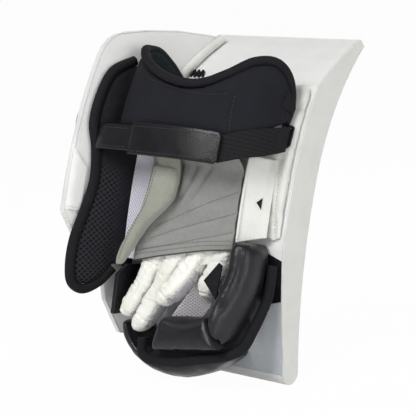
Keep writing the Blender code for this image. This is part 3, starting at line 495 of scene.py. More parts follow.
def make_finishes():
    leather("board_white", (0.79, 0.79, 0.78), (0.76, 0.762, 0.755),
            roughness=0.40, grain=0.00012, soft=0.0005)
    leather("side_white", (0.74, 0.745, 0.71), (0.70, 0.705, 0.67),
            roughness=0.45, grain=0.00015, soft=0.0008)
    leather("pad_white", (0.73, 0.73, 0.70), (0.66, 0.66, 0.62),
            roughness=0.45, grain=0.0002, soft=0.0010, stain=(0.62, 0.60, 0.52))
    leather("glove_white", (0.85, 0.85, 0.80), (0.78, 0.77, 0.70),
            roughness=0.50, grain=0.0002, soft=0.0010, stain=(0.66, 0.58, 0.36))
    leather("panel_grey", (0.56, 0.59, 0.62), (0.51, 0.54, 0.57),
            roughness=0.42, grain=0.00012, soft=0.0005)
    leather("roll_black", (0.009, 0.009, 0.011), (0.014, 0.014, 0.017),
            roughness=0.33, grain=0.00014, soft=0.0003, gloss=0.36)
    leather("strap_black", (0.004, 0.004, 0.005), (0.007, 0.007, 0.009),
            roughness=0.30, grain=0.0001, soft=0.0003, gloss=0.34)
    nylon("cuff_cloth", (0.006, 0.0065, 0.010), (0.013, 0.0135, 0.019))
    nylon("binding_cloth", (0.005, 0.005, 0.0065), (0.012, 0.012, 0.015), weave=0.0015)
    nylon("lining_cloth", (0.005, 0.010, 0.013), (0.012, 0.021, 0.026))
    spacer_mesh()
    webbing_cloth("webbing", (0.003, 0.003, 0.004), (0.007, 0.007, 0.009))
    suede("palm_suede", (0.235, 0.235, 0.225), (0.185, 0.185, 0.178))
    suede("thumb_suede", (0.275, 0.28, 0.235), (0.235, 0.24, 0.20))
    open_mesh("gusset_mesh", (0.76, 0.75, 0.83), (0.36, 0.36, 0.46), pitch=0.0027)
    open_mesh("finger_mesh", (0.66, 0.63, 0.66), (0.34, 0.32, 0.35), pitch=0.0021)
    plain_core("foam", (0.55, 0.57, 0.60), roughness=0.9, cell=0.002)
    plain_core("plate", (0.78, 0.79, 0.80), roughness=0.45, cell=0.004)
    plain_core("hole", (0.006, 0.006, 0.007), roughness=0.9, cell=0.002)
    thread("white_thread", (0.62, 0.61, 0.57))
    thread("grey_thread", (0.13, 0.13, 0.12))
    thread("pale_thread", (0.42, 0.41, 0.37))
    thread("black_thread", (0.025, 0.025, 0.03))
    thread("edge_dark", (0.045, 0.045, 0.042))


make_finishes()


# Building pieces

def link(name, data):
    item = bpy.data.objects.new(name, data)
    bpy.context.scene.collection.objects.link(item)
    return item


def dress(item, finish, body=GLOVE, stands_for=()):
    """Give a piece its material, its body, if it rides on just one, and the nodes it stands for."""
    item.data.materials.clear()
    item.data.materials.append(FINISH[finish])
    if body:
        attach(item, body)
    if stands_for:
        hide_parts(*stands_for)
    return item


def cushion(item, finish, node, body=GLOVE):
    """Dress a filled pad in place of a node."""
    dress(item, finish, body, [node])


def piece(name, shape, finish, body=GLOVE, stands_for=(), chart=None):
    """A piece from a shape, with each point's place kept where a chart is given."""
    bmesh.ops.recalc_face_normals(shape, faces=shape.faces[:])
    if shape.calc_volume(signed=True) < 0:
        bmesh.ops.reverse_faces(shape, faces=shape.faces[:])
    mesh = bpy.data.meshes.new(name)
    shape.to_mesh(mesh)
    shape.free()
    mesh.shade_smooth()
    mesh.set_sharp_from_angle(angle=math.radians(50))
    item = link(name, mesh)
    if chart:
        keep_places(item, chart)
    return dress(item, finish, body, stands_for)


def keep_places(item, chart):
    """Store each point's place on the board or wall, for the patterns of the materials."""
    spots = item.data.attributes.new("place", "FLOAT_VECTOR", "POINT")
    spots.data.foreach_set("vector", [value for vertex in item.data.vertices for value in chart(vertex.co)])


def settle(item):
    """Put the result of a piece's modifiers into its mesh."""
    graph = bpy.context.evaluated_depsgraph_get()
    mesh = bpy.data.meshes.new_from_object(item.evaluated_get(graph))
    old = item.data
    item.modifiers.clear()
    item.data = mesh
    bpy.data.meshes.remove(old)


def relax(item, times):
    """Even out a surface."""
    soft = item.modifiers.new("soft", "SMOOTH")
    soft.factor = 0.5
    soft.iterations = times
    settle(item)
    item.data.shade_smooth()


def push(item, distance):
    """Move each point along its normal by a distance worked out from its place."""
    moves = [vertex.co + vertex.normal * distance(vertex.co) for vertex in item.data.vertices]
    for vertex, place in zip(item.data.vertices, moves):
        vertex.co = place


def blank(node, name, voxel, shrink):
    """An even mesh with a node's form, a little smaller, ready to be filled."""
    shape = bmesh.new()
    shape.from_mesh(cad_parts[node].data)
    bmesh.ops.remove_doubles(shape, verts=shape.verts[:], dist=0.00001)
    mesh = bpy.data.meshes.new(name)
    shape.to_mesh(mesh)
    shape.free()
    item = link(name, mesh)
    grid = item.modifiers.new("even", "REMESH")
    grid.mode = "VOXEL"
    grid.voxel_size = voxel
    relax(item, 3)
    push(item, lambda place: -shrink)
    return item


def fill(pads, frames=20):
    """Blow every pad up like stuffed cloth, together, and cap how far a point moves."""
    scene = bpy.context.scene
    start = {}
    for item, (pressure, cap, seat) in pads.items():
        start[item.name] = [vertex.co.copy() for vertex in item.data.vertices]
        held = item.vertex_groups.new(name="held")
        held.add([vertex.index for vertex in item.data.vertices if seat and seat(vertex.co)], 1.0, "REPLACE")
        cloth = item.modifiers.new("cloth", "CLOTH")
        cloth.settings.quality = 4
        cloth.settings.mass = 0.2
        cloth.settings.tension_stiffness = 12
        cloth.settings.compression_stiffness = 12
        cloth.settings.bending_stiffness = 0.4
        cloth.settings.use_pressure = True
        cloth.settings.uniform_pressure_force = pressure
        cloth.settings.effector_weights.gravity = 0
        cloth.settings.vertex_group_mass = "held"
        cloth.point_cache.frame_end = frames
    for step in range(1, frames + 1):
        scene.frame_set(step)
    graph = bpy.context.evaluated_depsgraph_get()
    for item, (pressure, cap, seat) in pads.items():
        blown = [vertex.co.copy() for vertex in item.evaluated_get(graph).data.vertices]
        item.modifiers.clear()
        for vertex, old, new in zip(item.data.vertices, start[item.name], blown):
            move = new - old
            if move.length > cap:
                move *= cap / move.length
            vertex.co = old + move
    scene.frame_set(1)


def refine(item):
    """Subdivide a filled pad and shade it smooth."""
    finer = item.modifiers.new("finer", "SUBSURF")
    finer.levels = 1
    settle(item)
    item.data.shade_smooth()


def spot_tree(points):
    """A tree that finds the nearest of some points."""
    tree = KDTree(len(points))
    for i, point in enumerate(points):
        tree.insert(point, i)
    tree.balance()
    return tree


def press(item, line, depth, width):
    """Press a sewn channel into a pad along a line."""
    tree = spot_tree(even(line, width / 3))
    push(item, lambda place: -depth * math.exp(-(tree.find(place)[2] / width) ** 2))


def drawn_out(place, axis, pitch, stretch):
    """A place for noise whose features are stretched across an axis."""
    along = place.dot(axis)
    return (place - axis * along) / (stretch * pitch) + axis * along / pitch


def ruffle(item, axis, pitch, height, seed):
    """Soft waves that run across an axis."""
    axis = Vector(axis).normalized()
    start = Vector((seed, seed, seed))

    def rise(place):
        return height * noise.fractal(drawn_out(place, axis, pitch, 2.5) + start, 0.9, 2.0, 3)

    push(item, rise)


def crease(item, axis, pitch, depth, seed):
    """Thin creases, as in worn leather, that run mostly across an axis."""
    axis = Vector(axis).normalized()
    start = Vector((seed, 2 * seed, -seed))

    def sink(place):
        near = abs(noise.noise(drawn_out(place, axis, pitch, 2.2) + start)) / 0.2
        return -depth * (1 - min(near, 1.0)) ** 2

    push(item, sink)


def tree_of(item):
    return BVHTree.FromPolygons([vertex.co for vertex in item.data.vertices],
                                [polygon.vertices for polygon in item.data.polygons])


def laid_on(item, line):
    """Points of a line put on the nearest place of a piece's surface, with the normals there."""
    tree = tree_of(item)
    found = [tree.find_nearest(point) for point in line]
    return [spot[0] for spot in found], [spot[1] for spot in found]


def cast_on(item, flat, far=0.15):
    """Points given as (x, s), dropped on a piece's surface from the hand side."""
    tree = tree_of(item)
    spots, normals = [], []
    for x, s in flat:
        start = board_point(x, s, far)
        hit = tree.ray_cast(start, (board_point(x, s, 0) - start).normalized())
        if hit[0]:
            spots.append(hit[0])
            normals.append(hit[1] if hit[1].dot(start - hit[0]) > 0 else -hit[1])
    return spots, normals


def add_tube(shape, line, radius, sides, taper=False):
    """Sweep a ring along a line into a shape, with closed ends."""
    rows = []
    side = None
    for i, here in enumerate(line):
        along = (line[min(i + 1, len(line) - 1)] - line[max(i - 1, 0)]).normalized()
        guess = side or (Vector((0, 0, 1)) if abs(along.z) < 0.9 else Vector((1, 0, 0)))
        side = (guess - along * guess.dot(along)).normalized()
        up = along.cross(side)
        size = radius * (0.45 if taper and i in (0, len(line) - 1) else 1.0)
        ring = []
        for k in range(sides):
            turn = math.tau * k / sides
            ring.append(shape.verts.new(here + side * size * math.cos(turn) + up * size * math.sin(turn)))
        rows.append(ring)
    for a, b in zip(rows, rows[1:]):
        for k in range(sides):
            n = (k + 1) % sides
            shape.faces.new((a[k], a[n], b[n], b[k]))
    shape.faces.new(rows[0])
    shape.faces.new(rows[-1])


def tube(name, line, radius, finish, stands_for=()):
    shape = bmesh.new()
    add_tube(shape, line, radius, 12)
    return piece(name, shape, finish, stands_for=stands_for)


def stitches(name, rows, finish, sewing=PLAIN_STITCH, body=GLOVE):
    """Sewn thread along rows of (points, normals): one short raised stitch after another."""
    pitch, length, radius = sewing
    shape = bmesh.new()
    for points, normals in rows:
        tree = spot_tree(points)
        line = even(points, pitch)
        for a, b in zip(line, line[1:]):
            half = (b - a).normalized() * length / 2
            rise = normals[tree.find(a)[1]] * radius * 0.5
            middle = (a + b) / 2 + rise
            bow = [middle - half - rise, middle - half * 0.5, middle + half * 0.5, middle + half - rise]
            add_tube(shape, bow, radius, 6, taper=True)
    return piece(name, shape, finish, body)


def lined(points, step=0.002):
    """Flat (x, s) points close together along a smooth line."""
    return [tuple(point) for point in even(smooth(points, 10), step)]


def spaced(low, high, count):
    return [low + (high - low) * i / count for i in range(count + 1)]


def nothing(u):
    return 0.0


def whole(u):
    return 1.0


def slab(place, us, bottom, top, rows, edge=0.0008, low=nothing, high=whole):
    """A thin strip with rounded edges: low(u) to high(u) across, bottom to top thick."""
    shape = bmesh.new()
    rims = []
    for face in ("top", "bottom"):
        grid = []
        for u in us:
            a, b = low(u), high(u)
            row = []
            for k in range(rows + 1):
                v = a + (b - a) * (0.5 - 0.5 * math.cos(math.pi * k / rows))
                near = min(v - a, b - v, u - us[0], us[-1] - u)
                round_off = 0.35 * (top - bottom) * (1 - min(near / edge, 1)) ** 2
                t = top - round_off if face == "top" else bottom + round_off
                row.append(shape.verts.new(place(u, v, t)))
            grid.append(row)
        for r, q in zip(grid, grid[1:]):
            for k in range(rows):
                shape.faces.new((r[k], r[k + 1], q[k + 1], q[k]))
        far = grid[-1][-2::-1] + [row[0] for row in grid[-2:0:-1]]
        rims.append(grid[0] + [row[-1] for row in grid[1:]] + far)
    up, down = rims
    for i in range(len(up)):
        shape.faces.new((up[i - 1], up[i], down[i], down[i - 1]))
    return shape


# Board, wall and inner layers keep their CAD shapes, with softened edges

def soften(node, width):
    """Round a node's sharp edges with a narrow bevel."""
    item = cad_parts[node]
    weld = item.modifiers.new("weld", "WELD")
    weld.merge_threshold = 0.00001
    bevel = item.modifiers.new("edges", "BEVEL")
    bevel.width = width
    bevel.segments = 2
    bevel.limit_method = "ANGLE"
    bevel.angle_limit = math.radians(50)
    bevel.harden_normals = False


def finish_board():
    kept = {
        "board_white": ["puck_face_skin", "hand_face_skin", "wall_outer_cover", "wall_inner_cover"],
        "side_white": ["thumb_side_gusset", "pinky_side_gusset"],
        "panel_grey": ["lower_hand_panel"],
        "roll_black": ["index_guard", "webbing_anchor_tab", "hand_face_inlay"],
        "binding_cloth": ["strap_hook_tape", "cuff_side_tab", "loop_tab"],
        "foam": ["board_front_foam", "board_back_foam", "wall_foam"],
        "plate": ["board_stiffener", "wall_plate"],
    }
    for finish, nodes in kept.items():
        for node in nodes:
            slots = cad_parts[node].data.materials
            slots.clear()
            slots.append(FINISH[finish])
    for node in ("puck_face_skin", "thumb_side_gusset", "pinky_side_gusset", "wall_outer_cover"):
        soften(node, 0.0006)
    soften("index_guard", 0.0012)


def add_board_seams():
    """Double rows of thread round the puck face, and one row along the side wall."""
    rows = []
    for inset in (0.007, 0.010):
        high = BOARD_LENGTH - inset
        edges = [[(x, s) for s in spaced(0.020, high, 60)] for x in (LEFT + inset, RIGHT - inset)]
        edges.append([(x, high) for x in spaced(LEFT + 0.01, RIGHT - 0.01, 60)])
        for edge in edges:
            line = [board_point(x, s, -BOARD_THICKNESS - 0.0001) for x, s in edge]
            rows.append((line, [Vector((0, 1, 0))] * len(line)))
    stitches("puck_face_stitches", rows, "white_thread")

    rim = [(0.150, 0.094), (0.200, 0.092), (0.260, 0.092), (0.292, 0.084), (0.318, 0.060), (0.340, 0.034)]
    line = even([wall_point(s, h, -0.0001) for s, h in smooth(rim, 10)], 0.003)
    out = (wall_point(0.2, 0.05, -0.01) - wall_point(0.2, 0.05, 0)).normalized()
    stitches("wall_outer_stitches", [(line, [out] * len(line))], "white_thread")


def add_bead():
    """The padded roll in the corner between the wall and the hand face."""
    radius = 0.005
    clear = radius + 2 * GAP
    line = []
    for s in spaced(0.141, BOARD_LENGTH - 0.016, 60):
        d = face_depth(s) + clear
        h = (d - WALL_THICKNESS * math.sin(WALL_FLARE)) / math.cos(WALL_FLARE)
        x = wall_section(h, WALL_THICKNESS)[0] + clear / math.cos(WALL_FLARE)
        line.append(board_point(x, s, d))
    bead = tube("foot_bead_roll", line, radius, "pad_white", ["wall_foot_bead"])


def add_rim_tab():
    """White leather folded over the wall's rim, cut at a slant on the inside."""
    thick = 0.0012
    foot, shoulder, top = WALL_HEIGHT - 0.018, WALL_HEIGHT - 0.004, WALL_HEIGHT + thick
    outer, inner = -thick, WALL_THICKNESS + thick
    fold = Wrap([(foot, outer), (shoulder, outer), (top, 0.0018), (top, WALL_THICKNESS - 0.0018),
                 (shoulder, inner), (foot, inner)])

    def place(q, s, t):
        point, normal = fold.at(q)
        h, depth = point - normal * t
        return wall_point(s, h, depth)

    def low(q):
        return TAB_LOW

    def high(q):
        return TAB_HIGH + 0.004 - 0.020 * max(q / fold.length - 0.45, 0) / 0.55

    shape = slab(place, spaced(0, fold.length, 40), -RIM_LEATHER / 2, RIM_LEATHER / 2, 30, thick, low, high)
    tab = piece("rim_tab_leather", shape, "board_white", stands_for=["rim_fold_tab"])
    seen = spaced(0.028, fold.length - HEM, 20)
    edge = laid_on(tab, [place(q, TAB_LOW + HEM, RIM_LEATHER / 2) for q in seen])
    slant = laid_on(tab, [place(q, high(q) - HEM, RIM_LEATHER / 2) for q in seen])
    stitches("rim_tab_stitches", [edge, slant], "white_thread", FINE_STITCH)


def add_strap_keeper():
    """Black leather on the outside of the wall that bulges over the strap's end."""
    start, end = KEEPER_START, KEEPER_START + KEEPER_LENGTH
    foot, top = WALL_HEIGHT * 0.45, WALL_HEIGHT - 0.002

    def place(s, h, t):
        rise = math.sin(math.pi * (s - start) / (end - start)) ** 2
        rise *= math.sin(math.pi / 2 * (h - foot) / (top - foot))
        return wall_point(s, h, -GAP - KEEPER_BULGE * rise - t)

    shape = slab(place, spaced(start, end, 30), 0.0, KEEPER_LEATHER, 20, 0.002, lambda s: foot, lambda s: top)
    keeper = piece("strap_keeper_leather", shape, "roll_black", stands_for=["outer_strap_keeper"])
    rows = []
    for s in (start + HEM, end - HEM):
        line = [place(s, h, KEEPER_LEATHER) for h in spaced(foot + HEM, top - HEM, 24)]
        rows.append(laid_on(keeper, line))
    stitches("keeper_stitches", rows, "black_thread")


# Padded pieces, filled together

def seat_on_board(limit):
    return lambda point: to_board(point).z - min(face_depth(to_board(point).y), 0) < limit


def seat_on_wall(point):
    return to_wall(point).z < WALL_THICKNESS + 0.002


def make_pads():
    """Blank forms for every padded piece, then one filling for all of them."""
    # Node, voxel, how much smaller the blank is, pressure, cap and what holds its back
    plan = {
        "hand_back_pad": (0.0036, 0.0008, 4.0, 0.0030, seat_on_board(0.002)),
        "liner_pad": (0.0036, 0.0006, 4.0, 0.0022, seat_on_wall),
        "cuff_pad": (0.0032, 0.0006, 4.0, 0.0016, None),
        "finger_roll_side": (0.0034, 0.0010, 4.0, 0.0022, seat_on_board(0.004)),
        "finger_roll_front": (0.0032, 0.0010, 4.0, 0.0030, None),
        "finger_cup": (0.0034, 0.0010, 4.0, 0.0020, seat_on_board(0.004)),
        "thumb": (0.0024, 0.0006, 4.0, 0.0012, None),
    }
    for name in FINGERS:
        plan[name + "_finger"] = (0.0022, 0.0006, 5.0, 0.0014, None)
    pads = {}
    items = {}
    for node, (voxel, shrink, pressure, cap, seat) in plan.items():
        items[node] = blank(node, node + "_cover", voxel, shrink)
        pads[items[node]] = (pressure, cap, seat)
    fill(pads)
    for item in items.values():
        refine(item)
    return items


def finish_hand_back_pad(item):
    seam = lined([(0.0865, 0.228), (0.0885, 0.190), (0.0890, 0.154)])
    upper_fold = lined([(-0.060, 0.2785), (0.000, 0.279), (0.060, 0.280), (0.094, 0.278)])
    lower_fold = lined([(0.060, 0.166), (0.078, 0.163), (0.094, 0.164)])
    press(item, cast_on(item, seam)[0], depth=0.0018, width=0.0035)
    press(item, cast_on(item, upper_fold)[0], depth=0.0020, width=0.0040)
    press(item, cast_on(item, lower_fold)[0], depth=0.0008, width=0.0030)
    ruffle(item, (0.2, 0, 1), pitch=0.02, height=0.0004, seed=3.1)
    cushion(item, "pad_white", "hand_back_pad")
    stitches("pad_seam_stitches", [cast_on(item, seam)], "white_thread")


def finish_liner(item):
    keep_places(item, to_wall)
    cushion(item, "liner_cloth", "liner_pad")


def finish_cuff(item):
    """A seam below the binding, and upright seams that set off the right-hand lobe."""
    middle = lined([(-0.060, 0.272), (-0.030, 0.267), (0.000, 0.263), (0.030, 0.2625), (0.052, 0.266)])
    upright = lined([(0.060, 0.238), (0.058, 0.252), (0.0565, 0.268)])
    second = lined([(0.064, 0.238), (0.0625, 0.252), (0.0605, 0.272)])
    channels = [cast_on(item, line)[0] for line in (middle, upright, second)]
    for channel in channels:
        press(item, channel, depth=0.0011, width=0.0022)
    ruffle(item, (1, 0, 0.3), pitch=0.02, height=0.0004, seed=7.7)
    cushion(item, "cuff_cloth", "cuff_pad")
    rows = [cast_on(item, line) for line in (middle, upright)]
    stitches("cuff_stitches", rows, "black_thread", CUFF_STITCH)


def finish_rolls(side, front, cup):
    ridge = [(0.0835, 0.136, 0.05), (0.0850, 0.118, 0.05), (0.0820, 0.098, 0.055), (0.0740, 0.082, 0.062)]
    line = even([board_point(*point) for point in smooth(ridge, 10)], 0.002)
    press(side, laid_on(side, line)[0], depth=0.0030, width=0.0065)
    relax(side, 12)
    ruffle(side, (0, 0, 1), pitch=0.03, height=0.0004, seed=1.3)
    fold = lined([(-0.001, 0.0615), (0.016, 0.0585), (0.036, 0.0605), (0.050, 0.0655)])
    press(front, cast_on(front, fold)[0], depth=0.0032, width=0.0036)
    relax(front, 4)
    ruffle(front, (1, 0, 0), pitch=0.02, height=0.0005, seed=4.2)
    ruffle(cup, (1, 0, 0), pitch=0.02, height=0.0006, seed=9.4)
    for item, node in ((side, "finger_roll_side"), (front, "finger_roll_front"), (cup, "finger_cup")):
        cushion(item, "roll_black", node)


def finish_thumb(item):
    ruffle(item, (-0.4, 0, 1), pitch=0.010, height=0.0006, seed=2.2)
    cushion(item, "thumb_suede", "thumb", "thumb")
    edge = lined([(-0.0355, 0.199), (-0.0365, 0.186), (-0.0400, 0.172), (-0.0455, 0.160), (-0.0545, 0.146),
                  (-0.0640, 0.130), (-0.0720, 0.116), (-0.0740, 0.110)])
    inner = [(x + 0.0045, s) for x, s in edge]
    rows = [cast_on(item, edge), cast_on(item, inner)]
    stitches("thumb_stitches", rows, "grey_thread", THUMB_STITCH, "thumb")


def add_thumb_root():
    """The thumb's suede runs on under the strap, from the thumb below to the glove above."""
    low, high = 0.188, 0.226

    def place(s, v, t):
        left = between(s, [(low, -0.0385), (0.200, -0.0365), (high, -0.0375)])
        right = between(s, [(low, -0.0080), (0.200, -0.0065), (high, -0.0035)])
        d = between(s, [(low, 0.0592), (0.197, 0.0612), (0.207, 0.0655), (high, 0.0765)])
        round_off = 0.007 * (2 * v - 1) ** 4
        return board_point(left + (right - left) * v, s, d - round_off + t)

    shape = slab(place, spaced(low, high, 24), 0.0, ROOT_SUEDE, 16, 0.001)
    root = piece("thumb_root", shape, "thumb_suede", None)
    board_point(-0.022, 0.214, 0.068)
    board_point(-0.022, 0.196, 0.061)
    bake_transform(root)


def finger_line(name, turn, out=1.0):
    """A line down a finger at an angle round it: 90 is the hand side, 0 the little finger's side."""
    reach, slant, start, curl = FINGERS[name]
    start, bow = math.radians(start), math.radians(curl) / reach
    x = INDEX_X + list(FINGERS).index(name) * FINGER_PITCH
    s = between(x, PALM_BOTTOM) - 0.0028
    d = palm_depth(x) - GAP - FINGER_DEPTH / 2
    u = FINGER_WIDTH / 2 * out * math.cos(math.radians(turn))
    v = FINGER_DEPTH / 2 * out * math.sin(math.radians(turn))
    line = []
    for along in spaced(0.05 * reach, 0.93 * reach, FINGER_STEPS):
        lean = start + along * bow
        down = (math.sin(lean) - math.sin(start)) / bow - v * math.sin(lean)
        forth = (math.cos(start) - math.cos(lean)) / bow + v * math.cos(lean)
        line.append(board_point(x - slant * along + u, s - down, d + forth))
    return line


def broaden(name, item):
    """Widen a finger until it all but touches its neighbours, and let it hang fuller below its centre."""
    tree = spot_tree(finger_line(name, 90, 0.0))
    for vertex in item.data.vertices:
        here = to_board(vertex.co)
        middle = to_board(tree.find(vertex.co)[0])
        across, out = here.x - middle.x, here.z - middle.z
        square = FINGER_SQUARE * 2 * abs(across * out) / max(across ** 2 + out ** 2, 0.000001)
        here.x += (FINGER_SPREAD + square) * across
        here.z += square * out + FINGER_SAG * min(out, 0)
        vertex.co = board_point(*here)


def mark_mesh_side(item, name):
    """The strip between a finger's two seams, on the little finger's side, is mesh."""
    item.data.materials.append(FINISH["finger_mesh"])
    centre = finger_line(name, 90, 0.0)
    tree = spot_tree(centre)
    for polygon in item.data.polygons:
        spot, i, _ = tree.find(polygon.center)
        if i < 6 or i > FINGER_STEPS - 2:
            continue
        along = (centre[i + 1] - centre[i - 1]).normalized()
        across = (Vector((1, 0, 0)) - along * along.x).normalized()
        out = along.cross(across)
        away = polygon.center - spot
        turn = math.degrees(math.atan2(away.dot(-out if out.y > 0 else out), away.dot(across)))
        if LOW_SEAM_TURN < turn < TOP_SEAM_TURN:
            polygon.material_index = 1


def finish_finger(name, item):
    node = name + "_finger"
    axis = finger_line(name, 90)[-1] - finger_line(name, 90)[0]
    broaden(name, item)
    top_seam = even(finger_line(name, TOP_SEAM_TURN, 1.1), 0.002)
    low_seam = even(finger_line(name, LOW_SEAM_TURN, 1.1), 0.002)
    for line in (top_seam, low_seam):
        press(item, laid_on(item, line)[0], depth=0.0007, width=0.0016)
    ruffle(item, axis, pitch=0.016, height=0.0012, seed=11.0 * len(name))
    crease(item, axis, pitch=0.013, depth=0.0016, seed=1.7 * len(name))
    crease(item, axis, pitch=0.007, depth=0.0007, seed=4.1 * len(name))
    keep_places(item, lambda point: Vector((point.z + 0.4 * point.x, point.y - 0.3 * point.x, 0)))
    cushion(item, "glove_white", node, node)
    mark_mesh_side(item, name)
    stitches(name + "_stitches", [laid_on(item, top_seam)], "white_thread", FINE_STITCH, node)


def add_finger_web():
    """White mesh stretched from the ring finger's underside across to the little finger."""
    ring = finger_line("ring", -35, 1.05)
    little = finger_line("little", 265)

    def place(u, v, t):
        step = round(u * FINGER_STEPS)
        here = to_board(ring[step].lerp(little[step], v))
        hang = 0.018 * u ** 3 * math.sin(math.pi * (0.15 + 0.7 * v))
        return board_point(here.x, here.y - hang, here.z + t - 0.004 * math.sin(math.pi * v))

    shape = slab(place, spaced(0, 1, FINGER_STEPS), -THIN_CLOTH / 2, THIN_CLOTH / 2, 12, 0.02)
    web = piece("finger_web", shape, "finger_mesh", None, chart=to_board)
    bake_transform(web)


def add_knuckle_band():
    """White leather under the palm's hem that closes the glove between the finger roots."""
    def place(x, v, t):
        s = between(x, PALM_BOTTOM) - 0.013 + 0.022 * v
        return board_point(x, s, palm_depth(x) - 0.0045 - 0.003 * (1 - v) + t)

    shape = slab(place, spaced(-0.056, PALM_RIGHT - 0.003, 50), -BAND_LEATHER / 2, BAND_LEATHER / 2, 8, 0.02)
    band = piece("knuckle_band", shape, "glove_white")


# Sheets of the glove and cuff

QUILTS = [lined([(-0.036, 0.146), (0.001, 0.163), (0.035, 0.179), (0.060, 0.191)]),
          lined([(-0.041, 0.135), (-0.003, 0.148), (0.036, 0.161), (0.060, 0.170)]),
          lined([(-0.050, 0.124), (-0.007, 0.1335), (0.033, 0.144), (0.060, 0.152)])]
QUILT_DIP = {"depth": 0.0016, "width": 0.0035}
FOLDS = [lined([(-0.012, 0.216), (-0.0115, 0.195), (-0.013, 0.175)]),
         lined([(0.010, 0.216), (0.001, 0.192), (-0.007, 0.176)]),
         lined([(0.027, 0.216), (0.014, 0.191), (0.001, 0.173)])]
FOLD_DIP = {"depth": 0.0030, "width": 0.0032}


def dip(x, s, lines, depth, width):
    """How deep a place lies in channels along some lines."""
    total = 0.0
    for line in lines:
        away = min(math.hypot(x - a, s - b) for a, b in line)
        total += depth * math.exp(-(away / width) ** 2)
    return total


def palm_place(x, s, t):
    """The palm lies over the hand, dips at its quilting and folds, and flares out to the cuff."""
    share = min(max((s - PALM_FLARE_START) / (PALM_TOP - PALM_FLARE_START), 0), 1)
    arch = CUFF.at(CUFF.crossing(x))[0].y + 0.002
    flat = palm_depth(x) + 2 * GAP - dip(x, s, QUILTS, **QUILT_DIP) - dip(x, s, FOLDS, **FOLD_DIP)
    return board_point(x, s, flat + (arch - flat) * share ** 2 * (3 - 2 * share) + t)


def palm_spot(u, v):
    """x and s on the palm from shares across and up it."""
    rough = 0.118 + (PALM_TOP - 0.118) * v
    left = palm_left(rough)
    right = between(rough, [(0.206, PALM_RIGHT), (CUFF_LOW, 0.064)])
    x = left + (right - left) * u
    low = between(x, PALM_BOTTOM)
    return x, low + (PALM_TOP - low) * v


def add_palm():
    shape = slab(lambda u, v, t: palm_place(*palm_spot(u, v), t), spaced(0, 1, 70), 0.0, PALM_SHEET, 70, 0.01)
    palm = piece("palm_sheet", shape, "palm_suede", stands_for=["glove_palm"])
    rows = [cast_on(palm, line) for line in QUILTS]
    hem = [palm_spot(u, 0.03) for u in spaced(0.02, 0.98, 60)]
    for up in (0.0015, 0.0055):
        rows.append(cast_on(palm, [(x, s + up) for x, s in hem]))
    stitches("palm_stitches", rows, "grey_thread", FINE_STITCH)
    rim = [palm_spot(u, 0.0) for u in spaced(0, 1, 60)] + [palm_spot(1.0, v) for v in spaced(0.02, 0.72, 40)]
    line = [palm_place(x, s, PALM_SHEET * 0.6) for x, s in rim]
    tube("palm_edge_cord", even(line, ROLL_STEP), 0.0009, "edge_dark")


def add_thumb_gusset():
    """A white mesh web from the liner to the palm's edge."""
    foot = Vector(wall_section(0.030, WALL_THICKNESS + LINER_THICKNESS + 3 * GAP))

    def place(u, v, t):
        s = GUSSET_LOW + (GUSSET_HIGH - GUSSET_LOW) * u
        edge = Vector((palm_left(s) - 0.0006, palm_depth(palm_left(s)) + 0.0005))
        bend = (foot + edge) / 2 + 2 * Vector((0.002, -0.005))
        x, d = foot * (1 - v) ** 2 + bend * 2 * v * (1 - v) + edge * v ** 2
        ripple = 0.0012 * math.sin(v * math.pi) * noise.noise(Vector((u * 5, v * 2, 3.3)))
        return board_point(x, s, d + t + ripple)

    shape = slab(place, spaced(0, 1, 40), 0.0, GUSSET_MESH, 16, 0.01)
    web = piece("gusset_web", shape, "gusset_mesh", stands_for=["thumb_gusset"], chart=to_board)


def add_pinky_panel():
    """White leather from the palm's edge down to the pad, with its small three-cornered hole."""
    side = Wrap([(PALM_RIGHT + 0.0006, PALM_LOW_SIDE + 0.0005), (PALM_RIGHT + 0.009, 0.0215),
                 (PALM_RIGHT + 0.016, PAD_HEIGHT + 0.0035), (PALM_RIGHT + 0.025, PAD_HEIGHT + 0.0002)])
    bottom, top = 0.142, 0.226

    def place(q, s, t):
        """The panel thins to nothing where it runs out on the pad."""
        return side.place(q, s, t * (1 - 0.9 * max(q / side.length - 0.6, 0) / 0.4))

    def low(q):
        return bottom + 0.008 * q / side.length

    shape = slab(place, spaced(0, side.length, 24), GAP, GAP + PANEL_LEATHER, 40, 0.001, low, lambda q: top)
    panel = piece("pinky_panel_leather", shape, "pad_white", stands_for=["pinky_side_panel"])
    line = [side.place(0.0008, s, PANEL_LEATHER + 2 * GAP) for s in spaced(bottom + 0.004, top - 0.004, 40)]
    tube("panel_piping", line, 0.0016, "pad_white")
    hole = bmesh.new()
    corners = [(0.0225, 0.1875), (0.0160, 0.1825), (0.0225, 0.1765)]
    rings = [[hole.verts.new(side.place(q, s, GAP + t)) for q, s in corners] for t in (0.0022, 0.0031)]
    for i in range(3):
        hole.faces.new((rings[0][i], rings[0][i - 1], rings[1][i - 1], rings[1][i]))
    hole.faces.new(rings[0])
    hole.faces.new(rings[1])
    piece("panel_notch", hole, "hole")


def cuff_edge():
    """The cuff's upper edge as (q, s) points, from the thumb side to the pinky side."""
    shares = ((0.0, 0.298), (0.07, 0.307), (0.15, 0.312), (0.22, 0.306), (0.28, 0.293), (0.38, 0.282),
              (0.50, 0.276), (0.60, 0.277), (0.69, 0.287), (0.77, 0.301), (0.85, 0.307), (0.92, 0.302),
              (0.97, 0.290), (1.0, 0.274))
    return smooth([(share * CUFF.length, s) for share, s in shares], 8)


